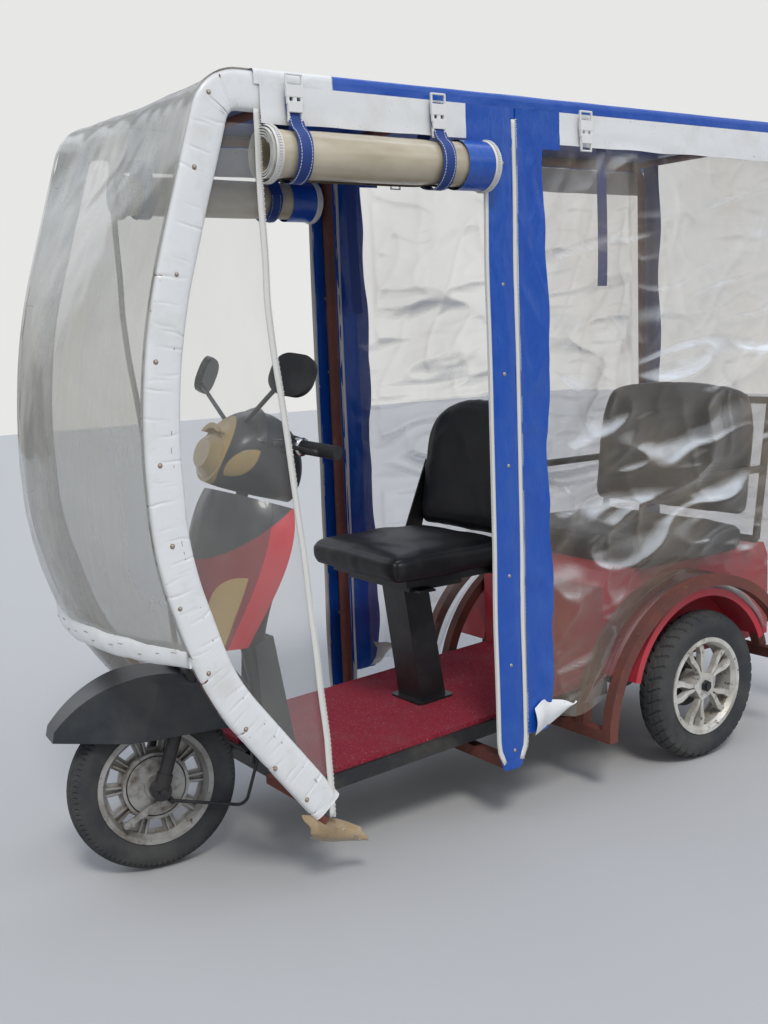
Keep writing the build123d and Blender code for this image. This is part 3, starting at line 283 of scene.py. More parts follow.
# The steering: how far its axis leans back, how far the bar is turned in the photograph, and how
# far the front axle lies ahead of the axis
FRONT_AXLE_X, FRONT_TYRE_R = 1.530, 0.2035
LEAN, BAR_TURN, FORK_OFFSET = radians(20), radians(-9), 0.035


def steering_point(x, y, z):
    """Place in the steering frame, Z along its axis and X ahead, as a place of the scene."""
    foot = at(FRONT_AXLE_X - FORK_OFFSET * cos(LEAN), 0, FRONT_TYRE_R - FORK_OFFSET * sin(LEAN))
    ahead = Vector((cos(LEAN), 0, sin(LEAN)))
    up = Vector((-sin(LEAN), 0, cos(LEAN)))
    left = Vector((0, 1, 0))
    turned_ahead = ahead * cos(BAR_TURN) + left * sin(BAR_TURN)
    turned_left = left * cos(BAR_TURN) - ahead * sin(BAR_TURN)
    return foot + turned_ahead * x + turned_left * y + up * z


def paint_shield(m):
    """Grey top, red sides with a painted highlight along the raised rear edge and a gold inset each side."""
    grey = m.layer(DARK_GREY, 7.0, 0.42, 0.75, 0.35, GREY_DIRT)
    red = m.layer((0.26, 0.008, 0.016), 6.0, 0.45, 0.8, 0.45, (0.30, 0.10, 0.08))
    # The raised rear edge is painted a brighter red as a highlight; the same mask raises it in the bump
    edge = m.beyond(at(1.287, 0, 0.737), (-1.0, 0, -0.314))
    insets = [m.within(at(1.335, side * 0.13, 0.60), 0.092) for name, side in SIDES]
    inset = m.times(m.beyond(at(1.322, 0, 0.686), (1.0, 0, 0.26)), m.math("MAXIMUM", *insets))
    red = m.mix(inset, m.mix(edge, red, (0.66, 0.015, 0.030)), GOLD)
    top = m.beyond(at(1.330, 0, 0.766), (0.626, 0, 1.0))
    m.colour(m.mix(top, red, grey))
    m.bump(m.math("ADD", edge, inset), *PAINT_EDGE_BUMP)


def paint_cowl(m):
    """Grey cover with a gold nose and a gold eye each side."""
    grey = m.layer(DARK_GREY, 7.0, 0.42, 0.75, 0.4, GREY_DIRT)
    gold = m.layer(GOLD, 9.0, 0.4, 0.8, 1, WORN_GOLD)
    nose = m.within(steering_point(0.150, 0, 0.815), 0.112)
    eyes = [m.times(m.within(steering_point(0.026, side * 0.116, 0.755), 0.070),
                    m.within(steering_point(0.084, side * 0.084, 0.819), 0.070)) for name, side in SIDES]
    zone = m.math("MAXIMUM", nose, m.math("MAXIMUM", *eyes))
    m.colour(m.mix(zone, grey, gold))
    m.bump(zone, *PAINT_EDGE_BUMP)


def colour_carpet(m):
    """Pile of fine coils, greyed in places, with pale fibres."""
    coils = m.spots(420.0, 0.35, 0.65, detail=2.0)
    pile = m.mix(coils, (0.20, 0.008, 0.022), (0.55, 0.024, 0.066))
    greyed = m.layer(pile, 9.0, 0.5, 0.85, 0.35, (0.22, 0.13, 0.12))
    m.colour(m.layer(greyed, 300.0, 0.70, 0.74, 1, (0.62, 0.46, 0.44), detail=1.0))
    m.bump(coils, 0.9, 0.004)


def colour_seat(m):
    m.colour(m.layer((0.011, 0.011, 0.013), 6.0, 0.45, 0.85, 0.3, (0.07, 0.065, 0.06)))
    m.bump(m.spots(260.0, 0.3, 0.7, detail=2.0), 0.12, 0.001)


def colour_blue(m):
    m.colour(m.layer(BLUE, 12.0, 0.45, 0.8, 0.4, WORN_BLUE))
    m.bump(m.spots(26.0, 0.3, 0.7, stretch=(1, 1, 0.4)), 0.5, 0.004)


def colour_tan(m):
    m.colour(m.layer((0.56, 0.50, 0.38), 8.0, 0.4, 0.75, 1, (0.36, 0.30, 0.20), stretch=(0.4, 1, 1)))


def colour_roof(m):
    """Blue, and white ahead of the doorway."""
    blue = m.layer(BLUE, 12.0, 0.45, 0.8, 0.4, WORN_BLUE)
    white = m.layer(WHITE, 14.0, 0.5, 0.8, 0.35, DIRTY_WHITE)
    edge = ROOF_WHITE_X + AXLE_X
    m.colour(m.mix(m.limits(m.axis("X"), edge, edge + 0.004), blue, white))
    m.bump(m.spots(26.0, 0.3, 0.7), 0.4, 0.003)


def clear_look(tone, dusty, thin, thick, gain, stretch=(1, 1, 0.5), sky_glint_share=0.0):
    """Clear vinyl, more opaque where it is hazy, and where it is seen at a low angle as glass is; faces that look
    up carry a painted sky reflection.
    """
    def colour(m):
        haze = m.spots(3.0, 0.32, 0.8, stretch=stretch)
        # Painted sky reflection: faces that look up, such as the upper side of each fold, are whitened towards a
        # pale sky blue
        normal = m.node("ShaderNodeNewGeometry").outputs["Normal"]
        sky_glint = m.times(m.step(m.axis("Z", normal), 0.26, 0.20), sky_glint_share)
        m.colour(m.mix(m.times(sky_glint, 1.8), m.mix(haze, tone, dusty), (0.66, 0.70, 0.74)))
        slope = m.node("ShaderNodeLayerWeight", Blend=0.6).outputs["Facing"]
        low_angle = m.times(m.times(slope, slope), gain)
        # The painted sky reflection also makes the up-facing folds more opaque
        clouded = m.math("ADD", m.mix(haze, thin, thick), m.math("ADD", low_angle, sky_glint))
        m.give(m.inputs["Alpha"], m.math("MINIMUM", clouded, 0.92))
    return colour


# Materials that are more than spots over a colour
SPECIAL = {
    "shield_paint": (dict(rough=0.30, coat=0.3), paint_shield),
    "cowl_paint": (dict(rough=0.36, coat=0.1), paint_cowl),
    "carpet_red": (dict(rough=0.95), colour_carpet),
    "seat_vinyl": (dict(rough=0.42, specular=0.32), colour_seat),
    "blue_vinyl": (dict(rough=0.26, coat=0.2), colour_blue),
    "tan_vinyl": (dict(rough=0.22, coat=0.4), colour_tan),
    "roof_vinyl": (dict(rough=0.3, coat=0.2), colour_roof),
    # The curtains' vinyl carries the painted sky reflection on its up-facing folds at half strength
    "clear_vinyl": (dict(rough=0.05, coat=1.0),
                    clear_look((0.24, 0.25, 0.26), (0.46, 0.36, 0.23), 0.07, 0.24, 0.8, sky_glint_share=0.5)),
    "quarter_vinyl": (dict(rough=0.08, coat=0.6),
                      clear_look((0.40, 0.41, 0.40), (0.50, 0.49, 0.44), 0.14, 0.30, 0.6)),
    "hazy_vinyl": (dict(rough=0.20, coat=0.35),
                   clear_look((0.24, 0.25, 0.23), (0.42, 0.40, 0.33), 0.46, 0.66, 0.30,
                              stretch=(3, 3, 0.35))),
}
materials = {}
for name, (values, colour, layers, grain) in MATERIALS.items():
    shader = Shader(name, **values)
    for layer in layers:
        colour = shader.layer(colour, *layer)
    shader.colour(colour)
    if grain:
        shader.bump(shader.spots(grain[0], 0.3, 0.7), *grain[1:])
    materials[name] = shader.material
for name, (values, look) in SPECIAL.items():
    shader = Shader(name, **values)
    look(shader)
    materials[name] = shader.material

finish_of = {p["node"]: p["material_slot"] for p in frame["record"]["subparts"]}


def dress(obj, material, slot=None):
    obj.data.materials.clear()
    obj.data.materials.append(materials[material])


# Nodes that show another material than their slot's own
PAINTED = {"leg_shield_front": "shield_paint", "leg_shield_sides": "shield_paint",
           "head_cowl": "cowl_paint", "front_rim": "front_alloy", "levers": "black_plastic"}
for node, obj in frame["nodes"].items():
    dress(obj, PAINTED.get(node, finish_of[node]), finish_of[node])


# Mesh helpers
def add_mesh(name, points, faces, material, body="body", slot=None, smooth=True):
    data = bpy.data.meshes.new(name)
    data.from_pydata([tuple(p) for p in points], [], faces)
    data.validate()
    data.update()
    if smooth:
        data.shade_smooth()
    obj = bpy.data.objects.new(name, data)
    bpy.context.scene.collection.objects.link(obj)
    dress(obj, material, slot)
    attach(obj, body)
    return obj


def grid_faces(rows, columns, wrap=False, offset=0):
    """Quads of a grid stored row by row; wrap joins the last column to the first."""
    faces = []
    for i in range(offset, offset + (rows - 1) * columns, columns):
        for j in range(columns if wrap else columns - 1):
            k = (j + 1) % columns
            faces.append((i + j, i + k, i + columns + k, i + columns + j))
    return faces


def grid_sheet(name, rows, columns, place, material, slot=None):
    """Sheet from place(u, v), u along the rows and v along the columns, both 0 to 1."""
    points = [place(i / (rows - 1), j / (columns - 1)) for i in range(rows) for j in range(columns)]
    return add_mesh(name, points, grid_faces(rows, columns), material, slot=slot)


def add_capped(name, points, sides, material, body="body", flip=False):
    """Closed tube from rings of points; flip turns its end faces where the rings run the other way."""
    rows = len(points) // sides
    first, last = tuple(range(sides)), tuple(range((rows - 1) * sides, rows * sides))
    caps = [first, last[::-1]] if flip else [first[::-1], last]
    return add_mesh(name, points, grid_faces(rows, sides, wrap=True) + caps, material, body)


def boxes(name, places, size, material):
    """Small boxes, each at a matrix."""
    corners = [(x * size[0], y * size[1], z * size[2])
               for x in (-0.5, 0.5) for y in (-0.5, 0.5) for z in (-0.5, 0.5)]
    quads = [(0, 1, 3, 2), (4, 6, 7, 5), (0, 4, 5, 1), (2, 3, 7, 6), (0, 2, 6, 4), (1, 5, 7, 3)]
    points = [place @ Vector(corner) for place in places for corner in corners]
    faces = [tuple(8 * k + i for i in quad) for k in range(len(places)) for quad in quads]
    return add_mesh(name, points, faces, material, smooth=False)


def round_points(centre, axis, radius, sides):
    """Circle of points round an axis."""
    side = axis.orthogonal().normalized()
    up = axis.cross(side)
    turns = [2 * pi * k / sides for k in range(sides)]
    return [centre + (side * cos(a) + up * sin(a)) * radius for a in turns]


def domes(name, centres, normal, radius, height, material, body="body"):
    """Rivet heads that all face one way."""
    points, faces = [], []
    rings, sides = 4, 12
    normal = Vector(normal)
    for centre in centres:
        base = len(points)
        for i in range(rings):
            a = pi / 2 * i / rings
            points += round_points(centre + normal * height * sin(a), normal, radius * cos(a), sides)
        points.append(centre + normal * height)
        faces += grid_faces(rings, sides, wrap=True, offset=base)
        top = base + (rings - 1) * sides
        faces += [(top + k, top + (k + 1) % sides, base + rings * sides) for k in range(sides)]
        faces.append(tuple(base + k for k in reversed(range(sides))))
    add_mesh(name, points, faces, material, body)


def waves(x, y, z, scale, seed=0.0):
    """Smooth noise from -1 to 1."""
    return noise.noise(Vector((x * scale + seed, y * scale + 1.7 * seed, z * scale - seed)))


def creases(x, y, z, scale, seed=0.0):
    """Sharp folds from 0 to 1, high along the crease."""
    return 1.0 - min(1.0, abs(waves(x, y, z, scale, seed)) * 4.0)


def length_of(line):
    return sum((b - a).length for a, b in zip(line, line[1:]))


def heading_at(line, i):
    """Direction of a line of points at one of them."""
    return (line[min(i + 1, len(line) - 1)] - line[max(i - 1, 0)]).normalized()


def along(line, spacing):
    """Points and directions at even spacing on a line of points."""
    found, carry = [], 0.0
    for a, b in zip(line, line[1:]):
        length = (b - a).length
        direction = (b - a).normalized() if length else Vector((1, 0, 0))
        while carry <= length:
            found.append((a + direction * carry, direction))
            carry += spacing
        carry -= length
    return found


def resampled(line, count):
    """The line as count points at even distance."""
    line = np.array([tuple(p) for p in line], float)
    steps = np.linalg.norm(np.diff(line, axis=0), axis=1)
    total = np.concatenate([[0], np.cumsum(steps)])
    wanted = np.linspace(0, total[-1], count)
    return [Vector([np.interp(w, total, line[:, k]) for k in range(line.shape[1])]) for w in wanted]


def rounded(corners, radii, steps=14):
    """Chain of (x, z) corners with each inner corner turned into an arc."""
    corners = [Vector(corner) for corner in corners]
    points = [corners[0]]
    for before, corner, after, radius in zip(corners, corners[1:], corners[2:], radii):
        a = (before - corner).normalized()
        b = (after - corner).normalized()
        half = a.angle(b) / 2
        centre = corner + (a + b).normalized() * radius / sin(half)
        reach = radius / tan(half)
        first, last = corner + a * reach - centre, corner + b * reach - centre
        start = atan2(first.y, first.x)
        turn = (atan2(last.y, last.x) - start + pi) % (2 * pi) - pi
        for k in range(steps + 1):
            angle = start + turn * k / steps
            points.append(centre + Vector((cos(angle), sin(angle))) * radius)
    return points + [corners[-1]]


def table(pairs):
    """Function that reads values off a table of heights and values, lowest first."""
    heights, values = zip(*pairs)
    return lambda z: float(np.interp(z, heights, values))


# Front bows: a padded white band from the roof down to the floor
BOW_CORNERS = [(1.190, 1.776), (1.490, 1.776), (1.667, 1.200), (1.655, 0.800), (1.560, 0.500),
               (1.309, 0.170)]
BOW_RADII = [0.110, 1.400, 0.800, 0.600]
BOW_LINE = rounded(BOW_CORNERS, BOW_RADII)
BAND_W, BAND_T = 0.082, 0.032
RIVET_SHARES = (0.16, 0.235, 0.34, 0.43, 0.53, 0.61, 0.68, 0.755, 0.83, 0.90, 0.955)
# X of the bow's outer edge at a height below its top corner
bow_x = table([(p.y, p.x) for p in reversed(BOW_LINE[1:])])


def crease_depths(distance, across, seed):
    """How deep the cross creases lie at a place of the band: thin grooves, closer near the foot."""
    depth, place, groove_width = 0.0, 0.20, 0.0019
    for k in range(60):
        share = min(1.0, place / 1.9)
        place += 0.062 - 0.034 * share + 0.016 * sin(k * 2.7 + seed)
        slant = 0.012 * sin(k * 1.9 + seed)
        off = (distance - place - slant * across) / groove_width
        if abs(off) < 3:
            reach = 0.6 + 0.4 * sin(k * 3.1 + seed)
            window = 1.0 / (1.0 + exp((abs(across - 0.5 * sin(k * 1.3)) - reach) / 0.08))
            depth += exp(-off * off) * window * (0.45 + 0.55 * abs(sin(k * 4.4 + seed)))
    return depth


def add_bow(name, side):
    line = resampled(BOW_LINE, 900)
    last = len(line) - 1
    length = length_of(line)
    sides, points = 34, []
    for i, p in enumerate(line):
        ahead = heading_at(line, i)
        inward = Vector((ahead.y, -ahead.x))
        share = i / last
        for k in range(sides):
            # Rounded box: across the band and through it
            c, s = cos(2 * pi * k / sides), sin(2 * pi * k / sides)
            across = copysign(abs(c) ** 0.45, c)
            through = copysign(abs(s) ** 0.62, s)
            groove = crease_depths(share * length, across, side)
            seam = exp(-((across - 0.42) / 0.035) ** 2) if through * side > 0 else 0.0
            wide = BAND_W / 2 * (1 + 0.04 * waves(share * 12, side, 0, 1.0)) - 0.0012 * groove - 0.001
            lump = 0.0016 * waves(p.x, p.y, across * 0.05, 9.0, 3.0)
            thick = BAND_T / 2 + lump - 0.0021 * groove - 0.0014 * seam - 0.0006
            spot = p + inward * (BAND_W / 2 + across * wide)
            points.append(at(spot.x, side * (CABIN_HALF - BAND_T / 2) + through * thick, spot.y))
    band = add_capped("bow_band_" + name, points, sides, "white_vinyl", flip=True)
    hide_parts("bow_wrap_" + name)
    # Rivets and the stains under them
    out, inward = Vector((0, side, 0)), Vector((-0.7, -0.3)).normalized()
    centres = []
    for k, share in enumerate(RIVET_SHARES):
        spot = line[int(len(line) * share)] + inward * (0.022 + 0.01 * (k * 7 % 3))
        centres.append(at(spot.x, side * (CABIN_HALF + 0.0005), spot.y))
    domes("bow_rivets_" + name, centres, out, 0.0038, 0.0020, "rivet")
    domes("bow_stains_" + name, [c - out * 0.0018 for c in centres], out, 0.0056, 0.0021, "rust_stain")
    # Dirt in the seam, thicker near the foot
    places = []
    for k, share in enumerate(np.linspace(0, 1, 46)):
        i = int(last * (0.36 + 0.61 * share ** 0.6))
        ahead = (line[i + 2] - line[i]).normalized()
        spot = line[i] + Vector((ahead.y, -ahead.x)) * (0.0575 + 0.0016 * sin(k * 2.3))
        size = 0.5 + 0.5 * abs(sin(k * 5.1))
        places.append(Matrix.Translation(at(spot.x, side * (CABIN_HALF - 0.0030), spot.y))
                      @ Matrix.Rotation(-atan2(ahead.y, ahead.x), 4, "Y")
                      @ Matrix.Diagonal((size, 1, size, 1)))
    boxes("bow_cracks_" + name, places, (0.017, 0.0034, 0.0014), "crack")


# Zip fasteners: a tape with a row of teeth
ZIP_SECTION = ((-0.5, 0.0012), (-0.2, 0.0028), (0.2, 0.0028), (0.5, 0.0012), (0.5, -0.0004), (-0.5, -0.0004))
TOOTH_PITCH = 0.0052


def add_zip(name, line, side, width, teeth_share):
    """Tape along a line, facing outwards, with teeth at a share of its width from its middle."""
    normal = Vector((0, side, 0))
    line = resampled(line, max(len(line), int(length_of(line) / 0.012)))
    points = []
    for i, p in enumerate(line):
        across = heading_at(line, i).cross(normal).normalized()
        points += [p + across * (u * width) + normal * lift for u, lift in ZIP_SECTION]
    add_capped(name, points, len(ZIP_SECTION), "zip_white")
    places = []
    for k, (p, ahead) in enumerate(along(line, TOOTH_PITCH)):
        across = ahead.cross(normal).normalized()
        shift = teeth_share * width + (0.0007 if k % 2 else -0.0007)
        turn = Matrix((ahead, across, normal)).transposed().to_4x4()
        places.append(Matrix.Translation(p + across * shift + normal * 0.0034) @ turn)
    boxes(name + "_teeth", places, (0.0026, 0.24 * width, 0.0022), "zip_white")


# Clear panel between each bow and the doorway, with the door's zip on its rear edge
PANEL_TOP, PANEL_LOW = 1.672, 0.243
panel_edge_x = table([(0.246, 1.268), (0.352, 1.273), (0.539, 1.289), (0.721, 1.304), (0.898, 1.320),
                      (1.000, 1.332), (1.113, 1.344), (1.200, 1.356), (1.320, 1.368), (1.500, 1.369),
                      (1.668, 1.370)])


def add_quarter_panel(name, side):
    plane = CABIN_HALF - BAND_T / 2

    def place(u, v):
        z = between(PANEL_TOP, PANEL_LOW, u)
        x = between(panel_edge_x(z) - 0.002, bow_x(z) - 0.050, v)
        hold = 0.7 * sin(pi * v) + 0.3 * (1 - v)
        sway = 0.010 * waves(x, 0, z, 3.1, 5.0) + 0.004 * waves(x, 0, z, 9.0, 2.0)
        return at(x, side * (plane + sway * hold), z)

    panel = grid_sheet("quarter_sheet_" + name, 120, 34, place, "quarter_vinyl", slot="clear_vinyl")
    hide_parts("quarter_panel_" + name)
    edge = []
    for z in np.linspace(1.700, 0.170, 60):
        x = panel_edge_x(z) + 0.0035 * waves(0, 0, z, 6.0, 9.0)
        edge.append(at(x, side * (plane + 0.012 + 0.003 * waves(0, 0, z, 4.0)), z))
    add_zip("door_zip_" + name, edge, side, 0.0145, -0.35)


# Windshield: hazy vinyl stretched over both bows, hanging into a padded hem
HEM_Z, HEM_H = 0.575, 0.050
HEM_BULGE, HEM_INSET = 0.085, 0.012
HEM_TALL, HEM_THICK = 0.026, 0.0098
bulge_at = table([(0.600, 0.085), (0.93, 0.083), (1.24, 0.061), (1.52, 0.029), (1.69, 0.010), (1.776, 0.0)])


def add_windshield():
    low, last = HEM_Z + 0.02, 119
    outline = [Vector((ROOF_FRONT_X - 0.002, ROOF_Z))]
    outline += [p for p in BOW_LINE if p.y >= low and p.x > ROOF_FRONT_X + 0.004]
    outline.append(Vector((bow_x(low), low)))
    line = resampled(outline, last + 1)

    def place(u, v):
        p, ahead = line[round(u * last)], heading_at(line, int(u * last))
        q = 2 * v - 1
        middle = 1 - q * q
        sag = middle * (0.004 + 0.022 * sin(pi * min(1.0, u / 0.30)) ** 2)
        sag += 0.0052 * max(0.0, 1 - (p.y - low) / 0.05)
        ripple = 0.0045 * waves(p.x, q * 0.4, p.y, 5.0, 1.0) + 0.002 * waves(p.x, q * 0.4, p.y, 17.0, 4.0)
        ripple *= min(1.0, 6 * (1 - abs(q)))
        spot = p + Vector((-ahead.y, ahead.x)) * (ripple - sag + 0.001)
        return at(spot.x + bulge_at(p.y) * middle, q * (CABIN_HALF - 0.004), spot.y)

    sheet = grid_sheet("windshield_sheet", last + 1, 72, place, "hazy_vinyl")
    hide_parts("windshield")


def hem_place(q):
    """Middle of the hem, q from -1 to 1 across it, and the direction that it faces there."""
    z = HEM_Z + HEM_H / 2 + 0.004 * waves(q * 3, 0, 0, 1.3)
    x = bow_x(z) - 0.004 + HEM_BULGE * (1 - q * q)
    return at(x, q * (CABIN_HALF - HEM_INSET), z), Vector((1.0, 2 * HEM_BULGE * q / 0.36, 0)).normalized()


def add_hem():
    sides, points = 20, []
    for q in np.linspace(-1, 1, 110):
        middle, out = hem_place(q)
        tall = HEM_TALL * (1 + 0.05 * waves(q * 9, 0, 0, 1.0, 2.0))
        for k in range(sides):
            c, s = cos(2 * pi * k / sides), sin(2 * pi * k / sides)
            fold = creases(q * 17, c * 0.35, s * 0.35, 1.0) ** 3
            thick = HEM_THICK * (1 + 0.12 * waves(q * 12, s, 0, 1.0) - 0.22 * fold)
            points.append(middle + out * (thick * c) + Vector((0, 0, tall * s)))
    hem = add_capped("hem_roll", points, sides, "white_vinyl", flip=True)
    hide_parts("windshield_hem")
    places = []
    for k in range(14):
        middle, out = hem_place(-0.94 + 1.88 * k / 13 + 0.03 * sin(k * 3.7))
        spot = middle + out * 0.0084 + Vector((0, 0, 0.008 * sin(k * 2.1)))
        places.append(Matrix.Translation(spot) @ Matrix.Rotation(atan2(out.y, out.x), 4, "Z")
                      @ Matrix.Diagonal((1, 0.5 + 0.6 * abs(sin(k * 4.3)), 0.7, 1)))
    boxes("hem_cracks", places, (0.0030, 0.017, 0.0018), "crack")


# Splash wings behind the hem, each a slack tan sheet
WING_FOOT_X, WING_FOOT_Z = 1.344, 0.262
WING_INNER, WING_OUTER = 0.215, CABIN_HALF - 0.034


def add_apron():
    rows, columns, points, faces = 30, 12, [], []
    x_top, z_top = bow_x(HEM_Z) - 0.006, HEM_Z + 0.004
    for side in (1, -1):
        faces += grid_faces(rows, columns, offset=len(points))
        for u in np.linspace(0, 1, rows):
            z = between(z_top, WING_FOOT_Z, u)
            for y in np.linspace(WING_INNER + 0.035 * u, WING_OUTER, columns):
                slack = 0.008 * waves(y * 3, z * 3, side, 2.0) - 0.012 * sin(pi * u)
                points.append(at(between(x_top, WING_FOOT_X, u) - 0.012 + slack, side * y, z))
    wing = add_mesh("apron_sheet", points, faces, "tail_vinyl", slot="tan_vinyl")
    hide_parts("apron")


# Torn tail of vinyl at each bow's foot
def add_foot_tail(name, side):
    def place(u, v):
        middle = 0.160 - 0.058 * u
        half = 0.033 * sqrt(max(0.10, sin(pi * (0.30 + 0.62 * u))))
        z = middle + half * (1 - 2 * v) - 0.010 * sin(pi * v)
        x = 1.330 - 0.150 * u - 0.35 * (middle - z) + 0.003 * sin(14 * v)
        y = CABIN_HALF - 0.017 + 0.016 * sin(pi * v) + 0.005 * sin(7 * u)
        return at(x, side * y, z)

    tail = grid_sheet("foot_tail_" + name, 30, 14, place, "tail_vinyl", slot="tan_vinyl")
    spots = [place(0.80, 0.42), place(0.86, 0.62), place(0.62, 0.30)]
    domes("foot_rivets_" + name, spots, (0, side, 0), 0.0040, 0.0024, "rivet")


# Roof vinyl with blue edge strips
ROOF_REAR_X = -0.588
ROOF_SPANS = ((-0.545, 0.735), (0.735, 1.172), (1.172, 1.46))


def add_roof():
    half, drop, rows, points = CABIN_HALF + 0.0018, 0.031, 150, []
    turns = [(-half, -drop), (-half, -drop * 0.5), (-half, -0.008), (-half + 0.003, -0.002),
             (-half + 0.010, 0.0)]
    cross = turns + [(-half + 0.010 + (2 * half - 0.020) * k / 26, 0.0) for k in range(1, 26)]
    cross += [(-y, z) for y, z in reversed(turns)]
    for x in np.linspace(ROOF_REAR_X, ROOF_FRONT_X, rows):
        sag = 0.0
        for a, b in ROOF_SPANS:
            if a <= x <= b:
                sag = 0.012 * sin(pi * (x - a) / (b - a)) * min(1.0, (b - a) / 0.8)
        for y, dz in cross:
            z = ROOF_Z + 0.003 + dz - sag * max(0.0, 1 - (y / half) ** 2)
            edge = 0.0
            if dz == 0:
                z += 0.0018 * waves(x, y, 0, 7.0)
            else:
                edge = max(0.0, 0.0025 * waves(x, 0, dz * 20, 9.0, 4.0))
            if dz <= -drop:
                z += 0.002 * waves(x, y, 0, 13.0)
            points.append(at(x, y + copysign(edge, y), z))
    roof = add_mesh("roof_vinyl", points, grid_faces(rows, len(cross)), "roof_vinyl", slot="blue_vinyl")
    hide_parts("roof_sheet")


# Valances: white strips under the roof's edge with a blue field by the doorway's rear post
VALANCE_TOP = 1.748
VALANCES = (("front", 0.834, 1.365, 1.672, "white_vinyl"), ("middle", 0.545, 0.834, 1.66, "blue_vinyl"),
            ("rear", ROOF_REAR_X, 0.545, 1.672, "white_vinyl"))


def add_valance(name, side):
    for label, x_low, x_high, bottom, material in VALANCES:
        def place(u, v):
            x = between(x_low, x_high, u)
            z = between(VALANCE_TOP, bottom, v) + 0.003 * v * waves(x, 0, 0, 8.0, 3.0)
            out = 0.0042 + 0.003 * v * waves(x, 0, v * 0.3, 9.0, side + 4)
            return at(x, side * (CABIN_HALF + max(0.0012, out)), z)

        rows = int(12 + 60 * (x_high - x_low))
        strip = grid_sheet(f"valance_{label}_{name}", rows, 9, place, material)
        if label == "rear" and side > 0:
            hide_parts("valances")


# Post covers: blue vinyl round the doorway's rear post with a zip on each edge
POST_X = 0.735
POST_RIVETS = (1.622, 1.345, 1.135, 0.915, 0.645, 0.42, 0.20)


def add_post_cover(name, side):
    half, low = 0.041, 0.152

    def place(u, v):
        z = between(VALANCE_TOP, low, u)
        q = 2 * v - 1
        round_end = max(0.0, 1 - (z - low) / 0.05)
        width = half * sqrt(max(0.05, 1 - round_end ** 2 * 0.55))
        x = POST_X - q * width + 0.0025 * waves(0, 0, z, 5.0, side)
        out = 0.0018 + 0.0052 * (1 - q * q) + 0.0018 * creases(q * 0.4, 0, z, 9.0, 2.0)
        return at(x, side * (CABIN_HALF + out), z)

    cover = grid_sheet("post_sheet_" + name, 160, 13, place, "blue_vinyl")
    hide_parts("post_cover_" + name)
    for label, offset, top, teeth in (("front", 0.045, 1.600, 0.34), ("rear", -0.043, 1.722, -0.34)):
        line = []
        for z in np.linspace(top, 0.172, 50):
            end = max(0.0, (0.222 - z) / 0.05)
            x = POST_X + offset * (1 - 0.42 * end * end) + 0.0035 * waves(0, 0, z, 4.0, side)
            line.append(at(x, side * (CABIN_HALF + 0.0035), z))
        add_zip(f"post_zip_{label}_{name}", line, side, 0.0135, teeth)
    spots = [at(POST_X - 0.004 * sin(z * 9), side * (CABIN_HALF + 0.0068), z) for z in POST_RIVETS]
    domes("post_rivets_" + name, spots, (0, side, 0), 0.0052, 0.003, "rivet")


# Side curtains: clear vinyl with deep folds, tucked between the guard's hoops
GUARD_X, GUARD_Z, GUARD_R = 0.030, 0.145, 0.382
CURTAIN_FRONT, CURTAIN_REAR = 0.640, -0.556
BORDER_FRONT, BORDER_REAR, BORDER_LOW = 0.688, 0.598, 0.232
# Where the vinyl passes between the hoops, and how far out it may stand elsewhere
TUCKED_Y, CURTAIN_REACH = 0.352, CABIN_HALF + 0.016
BACK_HALF = 0.366


def curtain_low(x):
    """Height of the curtain's lower edge, which follows the guard over the wheel."""
    if x > GUARD_X + GUARD_R - 0.02:
        return 0.245 + 0.012 * sin(x * 23)
    if x < GUARD_X - GUARD_R + 0.01:
        return 0.340
    guard_top = GUARD_Z + sqrt(GUARD_R ** 2 - (x - GUARD_X) ** 2)
    return max(0.33 if x < GUARD_X else 0.26, guard_top - 0.030)


def fold_depth(x, z, seed):
    """Pushes the vinyl out and in: broad bulges with crumpled ridges across them."""
    low = exp(-((z - 0.82) / 0.46) ** 2)
    broad = waves(x * 0.55, seed, z, 2.4, seed)
    # The folds run lengthwise and rise a little towards the rear
    sweep = z + 0.06 * x + 0.06 * 0.34 * waves(x, 0, z, 3.0, seed + 7)
    ripple = noise.noise(Vector((x * 3.4 + seed, sweep * 9.5, seed)))
    sharp = 1.0 - min(1.0, abs(noise.noise(Vector((x * 2.8 - seed, sweep * 8.0 + 5, seed)))) * 3.0)
    fine = creases(x * 0.30, seed, sweep, 17.0, seed + 2)
    cross = creases(x * 1.1 + 0.5 * z, seed, 0.5 * z - 0.4 * x, 7.0, seed + 9)
    return 0.0075 * broad + (0.009 + 0.014 * low) * ripple + (0.004 + 0.009 * low) * sharp * sharp \
        + (0.0016 + 0.0022 * low) * fine + 0.0030 * cross * cross


